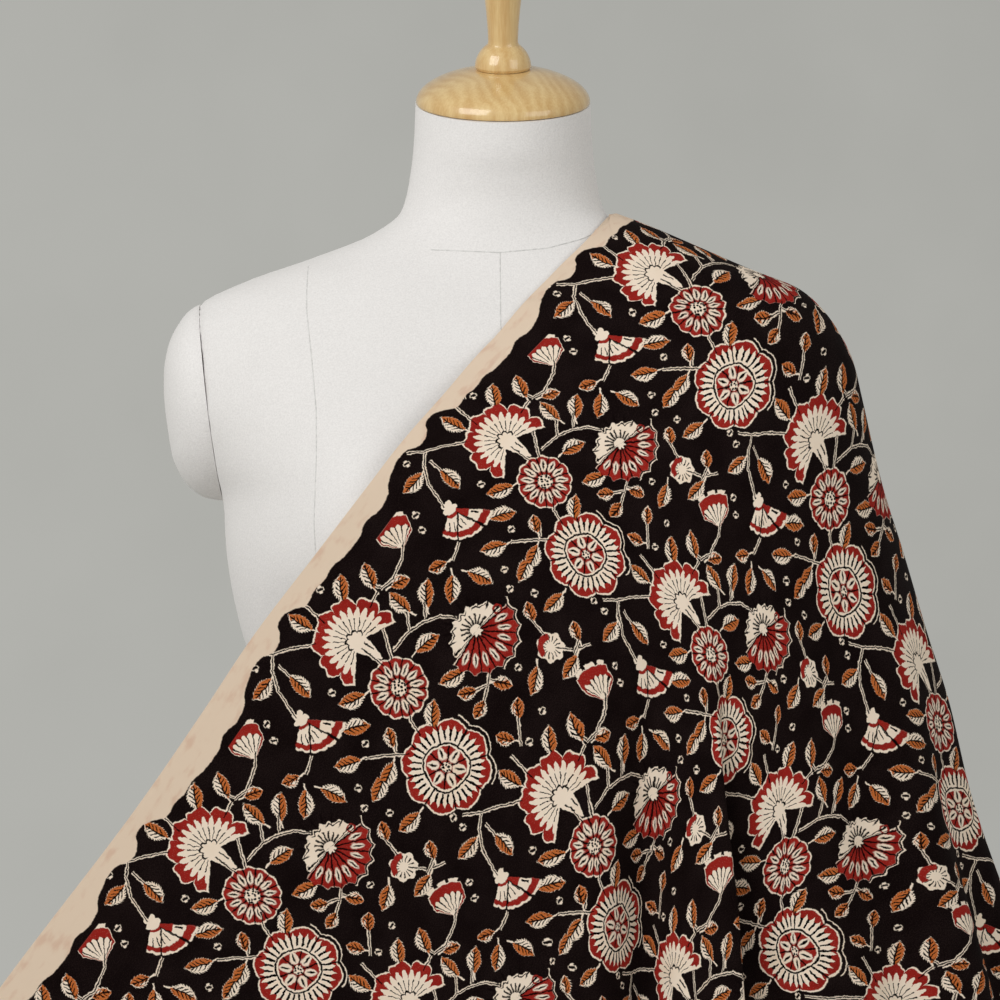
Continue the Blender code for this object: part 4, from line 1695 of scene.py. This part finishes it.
@dataclass
class TurnedWood:
    """The neck cap and its finial, turned about the neck's tilted axis."""

    finish: bpy.types.Material
    around: int = 96
    top: Triple = (0.0, -0.006, 0.684)
    cap_radius: float = 0.0553
    cap_height: float = 0.0238
    cap_seat: float = 0.0185
    cap_fullness: float = 1.15
    cap_rings: int = 32
    lip: float = 0.0012
    lip_round: float = 0.3
    ball_radius: float = 0.0180
    ball_foot: float = 0.0005
    ball_round: float = 0.0010
    ball_angles: Pair = (4.0, 56.0)
    ball_rings: int = 20
    handle_rings: int = 36

    def turned(self, name: str, node: str, profile: Sequence[Pair], rise: float) -> None:
        """One turned piece.

        Args:
            name: the piece's name.
            node: the solid that it stands for.
            profile: radius and height up its outer side.
            rise: how far up the axis its foot stands.
        """
        up = Vector((0.0, -math.sin(NECK_TILT), math.cos(NECK_TILT)))
        place = Matrix.Translation(Vector(self.top) + up * rise) @ Matrix.Rotation(NECK_TILT, 4, "X")
        turns = [2.0 * math.pi * i / self.around for i in range(self.around)]
        circle = [(math.cos(turn), math.sin(turn)) for turn in turns]
        rings = [np.array([place @ Vector((radius * x, radius * y, height)) for x, y in circle])
                 for radius, height in profile]
        piece = ring_stack(name, rings, self.finish, sharp=32.0)
        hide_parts(node)

    def dome(self) -> list[Pair]:
        """A rounded lip, a low dome and a small flat seat.

        Returns:
            Radius and height up the cap's outer side.
        """
        low = self.lip_round * self.lip
        profile = [(self.cap_radius - self.lip, 0.0), (self.cap_radius - low, low),
                   (self.cap_radius, self.lip)]
        last = math.acos((self.cap_seat / self.cap_radius) ** (1.0 / self.cap_fullness))
        for i in range(1, self.cap_rings + 1):
            angle = last * i / self.cap_rings
            profile.append((self.cap_radius * math.cos(angle) ** self.cap_fullness,
                            self.lip + (self.cap_height - self.lip) * math.sin(angle)))
        return profile

    def handle(self) -> list[Pair]:
        """A half ball standing on its wide side, and a handle that flares upward.

        Returns:
            Radius and height up the finial's outer side.
        """
        profile = [(self.ball_radius - self.ball_round, 0.0)]
        for angle in np.radians(np.linspace(*self.ball_angles, self.ball_rings)).tolist():
            profile.append((self.ball_radius * math.cos(angle),
                            self.ball_foot + self.ball_radius * math.sin(angle)))
        radii, heights = np.array(HANDLE_PROFILE).T
        for height in np.linspace(heights[0], heights[-3], self.handle_rings):
            profile.append((float(np.interp(height, heights, radii)), float(height)))
        return profile + list(HANDLE_PROFILE[-2:])

    def build(self) -> None:
        """Make the dome and the finial."""
        dome = self.dome()
        self.turned("wooden_dome", "neck_cap", dome, SEAT_GAP)
        self.turned("wooden_finial", "finial", self.handle(), 2.0 * SEAT_GAP + dome[-1][1])
        LOG.info("turned wood: 2 pieces")


# ---------------- the cotton


class FlatLay:
    """A cloth laid flat again, keeping its lengths as nearly as it can."""

    SELVEDGE_HOLD = 1e4
    WEIGHT_LIMITS = (0.02, 20.0)

    def __init__(self, points: np.ndarray) -> None:
        """Prepare the sheet.

        Args:
            points: rows by columns of points on the cloth's surface, from hem to neck.
        """
        self.points = points
        rows, columns = points.shape[:2]
        self.index = np.arange(rows * columns).reshape(rows, columns)
        quads = np.stack([self.index[:-1, :-1], self.index[:-1, 1:], self.index[1:, 1:],
                          self.index[1:, :-1]], axis=-1).reshape(-1, 4)
        self.triangles = np.concatenate([quads[:, (0, 1, 2)], quads[:, (0, 2, 3)]])
        self.selvedge = self.index[:, 0]

    def selvedge_lengths(self) -> np.ndarray:
        """Length down the front selvedge, 0 at the neck.

        Returns:
            The length at each of its vertices.
        """
        steps = np.linalg.norm(np.diff(self.points[:, 0], axis=0), axis=1)
        down = np.concatenate([[0.0], np.cumsum(steps)])
        return down[-1] - down

    def first_guess(self) -> np.ndarray:
        """A fan about the neck point, as a start.

        Returns:
            A place for each vertex.
        """
        rows, columns = self.index.shape
        steps = np.linalg.norm(np.diff(self.points, axis=0), axis=2)
        reach = np.concatenate([np.cumsum(steps[::-1], axis=0)[::-1], np.zeros((1, columns))])
        width = np.linalg.norm(np.diff(self.points, axis=1), axis=2)
        turn = np.concatenate([np.zeros((rows, 1)), np.cumsum(width, axis=1)], axis=1)
        turn = math.pi * turn / turn[:, -1:]
        return np.stack([reach * np.cos(turn), reach * np.sin(turn)], axis=-1).reshape(-1, 2)

    def solve(self, rounds: int = 60) -> np.ndarray:
        """Lay the cloth flat.

        Args:
            rounds: how often turns and places are worked out in turn.

        Returns:
            Rows by columns of places on the flat cloth, in metres.
        """
        space = self.points.reshape(-1, 3)
        corners = space[self.triangles]
        side = corners[:, 1] - corners[:, 0]
        other = corners[:, 2] - corners[:, 0]
        length = np.linalg.norm(side, axis=1)
        along = np.sum(other * side, axis=1) / length
        across = np.linalg.norm(np.cross(side, other), axis=1) / length
        zero = np.zeros_like(length)
        local = np.stack([np.stack([zero, zero], 1), np.stack([length, zero], 1),
                          np.stack([along, across], 1)], axis=1)
        weights, edges = [], []
        for i in range(3):
            a, b, c = local[:, i], local[:, (i + 1) % 3], local[:, (i + 2) % 3]
            u, v = a - c, b - c
            cross = np.abs(u[:, 0] * v[:, 1] - u[:, 1] * v[:, 0])
            weights.append(np.clip(np.sum(u * v, axis=1) / np.maximum(cross, TINY), *self.WEIGHT_LIMITS))
            edges.append(a - b)
        count = len(space)
        system = np.zeros((count, count))
        for i in range(3):
            a, b = self.triangles[:, i], self.triangles[:, (i + 1) % 3]
            np.add.at(system, (a, a), weights[i])
            np.add.at(system, (b, b), weights[i])
            np.add.at(system, (a, b), -weights[i])
            np.add.at(system, (b, a), -weights[i])
        held = np.zeros((count, 2))
        rim = self.selvedge
        system[rim, rim] += self.SELVEDGE_HOLD
        held[rim, 0] += self.SELVEDGE_HOLD * self.selvedge_lengths()
        inverse = np.linalg.inv(system)
        flat = self.first_guess()
        for _ in range(rounds):
            shape = flat[self.triangles]
            spread = np.zeros((len(self.triangles), 2, 2))
            for i in range(3):
                step = shape[:, i] - shape[:, (i + 1) % 3]
                spread += weights[i][:, None, None] * step[:, :, None] * edges[i][:, None, :]
            left, _, right = np.linalg.svd(spread)
            sign = np.sign(np.linalg.det(left @ right))
            left[:, :, 1] *= sign[:, None]
            turn = left @ right
            wanted = held.copy()
            for i in range(3):
                step = weights[i][:, None] * np.einsum("tij,tj->ti", turn, edges[i])
                np.add.at(wanted, self.triangles[:, i], step)
                np.add.at(wanted, self.triangles[:, (i + 1) % 3], -step)
            flat = inverse @ wanted
        return flat.reshape(*self.index.shape, 2)


@dataclass
class DrapedCotton:
    """The printed length, hung from the side of the neck in folds down to the surface."""

    finish: bpy.types.Material
    pattern: BlockPrint
    layer: str
    thickness: float = 0.0007
    middle_gap: float = 0.0023
    push: float = 0.0002
    pushes: int = 3
    crown_rise: float = 0.0030
    crown_inset: float = 0.0045
    crown_level: float = 0.5600
    top_level: float = 0.6110
    foot_level: float = 0.028
    corner_power: float = 2.25
    back_turn: float = 0.35
    hem_uneven: float = 0.011
    hem_waves: tuple[Triple, ...] = ((1.0, 5.1, 0.6), (0.6, 11.3, 0.0))
    hem_rings: int = 10
    hem_share: float = 0.5
    columns: int = 301
    flat_step: tuple[int, int] = (4, 5)
    ease: float = 0.13
    ease_soft: float = 0.02
    mixed: int = 3
    mix_soft: float = 1e-4

    def section(self, z: np.ndarray, place: np.ndarray) -> np.ndarray:
        """Points of the unfolded cloth's section, before its folds.

        Args:
            z: heights.
            place: quarters round the cloth, of the same shape.

        Returns:
            The points, with a last axis of three.
        """
        row = {name: smooth_column(HANG_ROWS, name, z) for name in HangRow._fields[1:]}
        power = 2.0 / self.corner_power
        inner = row["back_edge_x"] + self.back_turn * (row["side_x"] - row["back_edge_x"])
        front_turn = 0.5 * math.pi * np.clip(place - 1.0, 0.0, 1.0)
        back_turn = 0.5 * math.pi * np.clip(place - 2.0, 0.0, 1.0)
        sine, cosine = np.sin(front_turn) ** power, np.maximum(np.cos(front_turn), 0.0) ** power
        back_sine, back_cosine = np.sin(back_turn) ** power, np.maximum(np.cos(back_turn), 0.0) ** power
        tail = np.clip(place - 3.0, 0.0, 1.0)
        sides = [place <= 1.0, place <= 2.0, place <= 3.0]
        x = np.select(
            sides,
            [row["edge_x"] + (row["corner_x"] - row["edge_x"]) * place,
             row["corner_x"] + (row["side_x"] - row["corner_x"]) * sine,
             inner + (row["side_x"] - inner) * back_cosine],
            inner + (row["back_edge_x"] - inner) * tail)
        y = np.select(
            sides,
            [row["edge_y"] + (-row["front"] - row["edge_y"]) * place, -row["front"] * cosine,
             row["back"] * back_sine],
            row["back"] + (row["back_edge_y"] - row["back"]) * tail)
        return np.stack([x, y, z + 0.0 * place], axis=-1)

    def axes(self, z: np.ndarray, place: np.ndarray, step: float = 0.02) -> tuple[np.ndarray, np.ndarray]:
        """Directions of the section at a place.

        Args:
            z: heights.
            place: quarters round the cloth.
            step: how far to either side the direction is taken.

        Returns:
            The outward and the sideways direction.
        """
        after = self.section(z, np.minimum(place + step, 4.0))
        along = after - self.section(z, np.maximum(place - step, 0.0))
        along /= np.linalg.norm(along, axis=-1, keepdims=True)
        outward = np.stack([along[..., 1], -along[..., 0], np.zeros_like(along[..., 0])], axis=-1)
        return outward, along

    def surface(self, z: np.ndarray, place: np.ndarray) -> np.ndarray:
        """The cloth's middle surface, folds included.

        Args:
            z: heights.
            place: quarters round the cloth, of the same shape.

        Returns:
            Its points, with a last axis of three.
        """
        points = self.section(z, place)
        outward, along = self.axes(z, place)
        plain = points.copy()
        for fold in FOLDS:
            grown = smooth_step((fold.start - z) / (fold.start - fold.full))
            middle = fold.place_low + (fold.place_top - fold.place_low) * np.minimum(z / fold.start, 1.0)
            distance = np.linalg.norm(self.section(z, middle) - plain, axis=-1)
            width = np.where(place < middle, fold.near, fold.far)
            share = (grown * np.exp(-(distance / width) ** 2))[..., None]
            points += outward * (fold.depth * share) + along * (fold.lean * share)
        crown = smooth_step((z - self.crown_level) / (self.top_level - self.crown_level)) ** 4
        arch = np.maximum(np.sin(0.25 * math.pi * place), 0.0) ** 2
        points[..., 2] += self.crown_rise * crown * arch
        points[..., 0] -= self.crown_inset * crown * arch
        return points

    def places(self) -> np.ndarray:
        """Where the columns stand, closer together at the deep folds.

        Returns:
            Quarters round the cloth.
        """
        knots, shares = zip(*COLUMN_SHARES)
        count = np.cumsum(shares)
        return np.interp(np.linspace(0.0, count[-1], self.columns), count, knots)

    def grid(self, form: BVHTree) -> np.ndarray:
        """The cloth's middle surface, clear of the form.

        Args:
            form: what it hangs on.

        Returns:
            Rows of points, from the hem to the neck.
        """
        place = self.places()[None, :]
        level = np.zeros_like(place)
        outward, _ = self.axes(level, place)
        waves = sum(height * np.sin(rate * place + start) for height, rate, start in self.hem_waves)
        uneven = 1.0 + self.hem_uneven / HEM_ROWS[0].reach * waves
        hem = []
        last = len(HEM_ROWS) - 1
        rings = np.linspace(0.0, last, self.hem_rings)
        heights, reaches = (np.interp(rings, range(last + 1), column) for column in zip(*HEM_ROWS))
        for reach, height in zip(reaches, heights):
            low = self.foot_level * height / HEM_ROWS[-1].z * self.hem_share
            points = self.surface(level + low, place) + outward * reach * uneven[..., None]
            points[..., 2] = height
            hem.append(points)
        levels = np.concatenate([np.linspace(*span) for span in ROW_SPANS])
        hanging = self.surface(levels[:, None] + 0.0 * place, place + 0.0 * levels[:, None])
        for row in hanging:
            for point in row:
                self.clear_of(point, form)
        return np.concatenate([np.concatenate(hem), hanging])

    def clear_of(self, point: np.ndarray, form: BVHTree) -> None:
        """Move a point out to where the cloth just clears the form.

        Args:
            point: the point, changed in place.
            form: what it hangs on.
        """
        for _ in range(self.pushes):
            nearest, normal, _, distance = form.find_nearest(Vector(point))
            away = Vector(point) - nearest
            if distance >= self.middle_gap and away.dot(normal) > 0.0:
                return
            point[:] = nearest + normal * (self.middle_gap + self.push)

    def settle_print(self, points: np.ndarray, flat: np.ndarray) -> np.ndarray:
        """Ease the flat places so that the print's rosettes fall where they lie on the drape.

        Args:
            points: the cloth's surface.
            flat: the flat places worked out for it.

        Returns:
            The eased places. The selvedge keeps its own.
        """
        front = points[..., 1] < FRONT_SIDE
        held = ([(u, 0.0) for u in np.arange(*HELD_SELVEDGE)]
                + [(u, HELD_ACROSS) for u in np.arange(*HELD_HEM)])
        spots, moves = [], []
        for (i, j), x, z in ROSETTES:
            far = np.where(front, np.hypot(points[..., 0] - x, points[..., 2] - z), np.inf)
            nearest = np.argsort(far, axis=None)[:self.mixed]
            share = 1.0 / (far.ravel()[nearest] + self.mix_soft)
            place = (flat.reshape(-1, 2)[nearest] * share[:, None]).sum(axis=0) / share.sum()
            wanted = np.array(self.pattern.start) + np.array(self.pattern.repeat) * (i, j)
            spots.append(place)
            moves.append(wanted - place)
            LOG.info("rosette %d %d moved by %.1f %.1f mm", i, j, *(MILLIMETRES * moves[-1]))
        known = np.array(spots + held)
        moved = np.array(moves + [(0.0, 0.0)] * len(held))
        kernel = np.exp(-np.sum((known[:, None] - known[None]) ** 2, axis=-1) / self.ease**2)
        weights = np.linalg.solve(kernel + self.ease_soft * np.eye(len(known)), moved)
        near = np.stack([flat[..., 0], np.minimum(flat[..., 1], known[:, 1].max())], axis=-1)
        gap = near.reshape(-1, 1, 2) - known[None]
        return flat + (np.exp(-np.sum(gap**2, axis=-1) / self.ease**2) @ weights).reshape(flat.shape)

    def flat_places(self, points: np.ndarray) -> np.ndarray:
        """Where the fine grid lies on the flat cloth.

        Args:
            points: rows by columns of points on the draped cloth.

        Returns:
            The same rows and columns of flat places, in metres.
        """
        rows, columns = points.shape[:2]
        pick_rows = np.unique(np.append(np.arange(0, rows, self.flat_step[0]), rows - 1))
        pick_columns = np.unique(np.append(np.arange(0, columns, self.flat_step[1]), columns - 1))
        flat = FlatLay(points[np.ix_(pick_rows, pick_columns)]).solve()
        down = np.stack([[np.interp(np.arange(rows), pick_rows, flat[:, c, k]) for c in range(flat.shape[1])]
                         for k in range(2)])
        fine = np.stack([[np.interp(np.arange(columns), pick_columns, down[k, :, r]) for r in range(rows)]
                         for k in range(2)])
        return self.settle_print(points, np.moveaxis(fine, 0, -1))

    def build(self, form: Sequence[bpy.types.Object]) -> bpy.types.Object:
        """Make the cloth.

        Args:
            form: the pieces that it lies on.

        Returns:
            The cloth.
        """
        points = self.grid(tree_of(form))
        normals = np.cross(np.gradient(points, axis=1), np.gradient(points, axis=0))
        normals /= np.linalg.norm(normals, axis=2, keepdims=True)
        outer = points + normals * 0.5 * self.thickness
        inner = points - normals * 0.5 * self.thickness
        inner[..., 2] = np.maximum(inner[..., 2], self.push)
        rows, columns = points.shape[:2]
        flat = self.flat_places(points)
        below = rows * columns
        faces = grid_faces(rows, columns, closed=False)
        faces += [tuple(below + i for i in reversed(face)) for face in list(faces)]
        index = np.arange(below).reshape(rows, columns)
        rim = np.concatenate([index[0, :], index[1:, -1], index[-1, -2::-1], index[-2:0:-1, 0]]).tolist()
        faces += [(a, below + a, below + b, b) for a, b in zip(rim, rim[1:] + rim[:1])]
        vertices = np.concatenate([outer.reshape(-1, 3), inner.reshape(-1, 3)])
        cloth = add_piece("draped_cotton", vertices, faces, self.finish, sharp=75.0)
        self.write_layers(cloth, np.concatenate([flat.reshape(-1, 2)] * 2),
                          np.concatenate([self.rim_distance(points)] * 2))
        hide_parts("printed_cotton")
        return cloth

    def rim_distance(self, points: np.ndarray) -> np.ndarray:
        """How far each point lies from the edge down the front, round the neck and down the back.

        Args:
            points: rows by columns of points on the cloth.

        Returns:
            The distance for each point, in one row.
        """
        edge = np.concatenate([points[:, 0], points[-1], points[:, -1]])
        start, run = edge[:-1], np.diff(edge, axis=0)
        length = np.maximum(np.sum(run * run, axis=1), TINY)
        least = np.full(points.shape[0] * points.shape[1], 1.0)
        space = points.reshape(-1, 3)
        for a, d, square in zip(start, run, length):
            share = np.clip((space - a) @ d / square, 0.0, 1.0)
            least = np.minimum(least, np.linalg.norm(space - a - share[:, None] * d, axis=1))
        return least

    def write_layers(self, cloth: bpy.types.Object, flat: np.ndarray, rim: np.ndarray) -> None:
        """Keep the flat places as a UV layer, the same fitted to a square as another, and the rim.

        Args:
            cloth: the cloth's object.
            flat: each vertex's place on the flat cloth.
            rim: each vertex's distance from the edge.
        """
        mesh = cloth.data
        mesh.attributes.new(RIM, "FLOAT", "POINT").data.foreach_set("value", rim.astype(np.float32))
        corners = np.empty(len(mesh.loops), dtype=np.int32)
        mesh.loops.foreach_get("vertex_index", corners)
        low = flat.min(axis=0)
        fitted = (flat - low) / (flat - low).max()
        for name, places in ((self.layer, flat), ("OFBake", fitted)):
            layer = mesh.uv_layers.new(name=name)
            layer.data.foreach_set("uv", places[corners].astype(np.float32).ravel())


# ---------------- the studio


class SoftLight(NamedTuple):
    """A square soft light aimed at a point; size in metres, power in watts."""

    name: str
    place: Triple
    toward: Triple
    size: float
    power: float
    in_gloss: bool


LIGHTS = (
    SoftLight("key", (-1.5, -1.9, 1.7), (0.0, 0.0, 0.45), 1.7, 40.0, True),
    SoftLight("fill", (1.9, -1.9, 1.1), (0.1, 0.0, 0.4), 1.6, 14.0, True),
    SoftLight("back", (0.8, 2.0, 1.4), (0.0, 0.0, 0.4), 1.6, 10.0, False),
)


@dataclass
class Studio:
    """A plain pale floor, soft light from the upper left and a level camera."""

    camera_place: Triple = (-0.0019, -2.6, 0.4325)
    frame_width: float = 0.636
    sensor_width: float = 36.0
    floor_radius: float = 0.85
    floor_sides: int = 96
    floor_drop: float = 0.0005
    wall: Colour = srgb(179, 179, 174)
    wall_dim: Colour = srgb(166, 166, 161)
    cloud: Triple = (9.0, 4.0, 0.6)
    cloud_share: float = 0.9
    slopes: Pair = (1.3, 0.6)
    wall_fade: Fade = Fade(0.05, 1.0)

    def make_floor(self) -> None:
        """A round floor whose far edge stays below the camera's frame."""
        mesh = bpy.data.meshes.new("floor")
        work = bmesh.new()
        bmesh.ops.create_circle(work, cap_ends=True, segments=self.floor_sides, radius=self.floor_radius,
                                matrix=Matrix.Translation((0.0, 0.0, -self.floor_drop)))
        work.to_mesh(mesh)
        work.free()
        mesh.materials.append(FloorFinish().build())
        floor = bpy.data.objects.new("floor", mesh)
        bpy.context.scene.collection.objects.link(floor)

    def add_light(self, light: SoftLight) -> None:
        """Hang one of the lights.

        Args:
            light: where it stands and how strong it is.
        """
        data = bpy.data.lights.new(light.name, "AREA")
        data.shape = "SQUARE"
        data.size = light.size
        data.energy = light.power
        lamp = bpy.data.objects.new(light.name, data)
        lamp.location = light.place
        aim = Vector(light.toward) - Vector(light.place)
        lamp.rotation_euler = aim.to_track_quat("-Z", "Y").to_euler()
        lamp.visible_glossy = light.in_gloss
        bpy.context.scene.collection.objects.link(lamp)

    def make_world(self) -> None:
        """A grey painted backdrop, faintly clouded and a little darker toward one side."""
        world = bpy.data.worlds.new("studio_grey")
        world.use_nodes = True
        tree = world.node_tree
        way = Value(tree, tree.nodes.new("ShaderNodeTexCoord").outputs["Generated"])
        scale, detail, rough = self.cloud
        clouds = way.noise(scale, detail, rough=rough)
        x, _, z = way.parts()
        sideways, upward = self.slopes
        share = clouds.scaled(self.cloud_share, x.scaled(sideways, z * upward)).range(*self.wall_fade)
        background = tree.nodes["Background"]
        tree.links.new(share.mixed_from(self.wall, self.wall_dim).socket, background.inputs["Color"])
        background.inputs["Strength"].default_value = 1.0
        bpy.context.scene.world = world

    def make_camera(self) -> None:
        """The camera, level and straight on."""
        data = bpy.data.cameras.new("front_camera")
        data.sensor_width = self.sensor_width
        data.lens = self.sensor_width * -self.camera_place[1] / self.frame_width
        camera = bpy.data.objects.new("front_camera", data)
        camera.location = self.camera_place
        camera.rotation_euler = (0.5 * math.pi, 0.0, 0.0)
        bpy.context.scene.collection.objects.link(camera)
        bpy.context.scene.camera = camera

    def build(self) -> None:
        """Set up floor, lights, surround and camera."""
        self.make_floor()
        self.make_world()
        for light in LIGHTS:
            self.add_light(light)
        self.make_camera()
        bpy.context.scene.view_settings.view_transform = "Standard"


def main() -> None:
    """Build the dressed part in order."""
    logging.basicConfig(level=logging.INFO, format="%(name)s: %(message)s")
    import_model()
    pieces = DressForm(CoverFinish().build(), SeamFinish().build()).build()
    TurnedWood(WoodFinish().build()).build()
    cotton_print = BlockPrint()
    DrapedCotton(cotton_print.build("flat"), cotton_print, "flat").build(pieces)
    Studio().build()


if __name__ == "__main__":
    main()
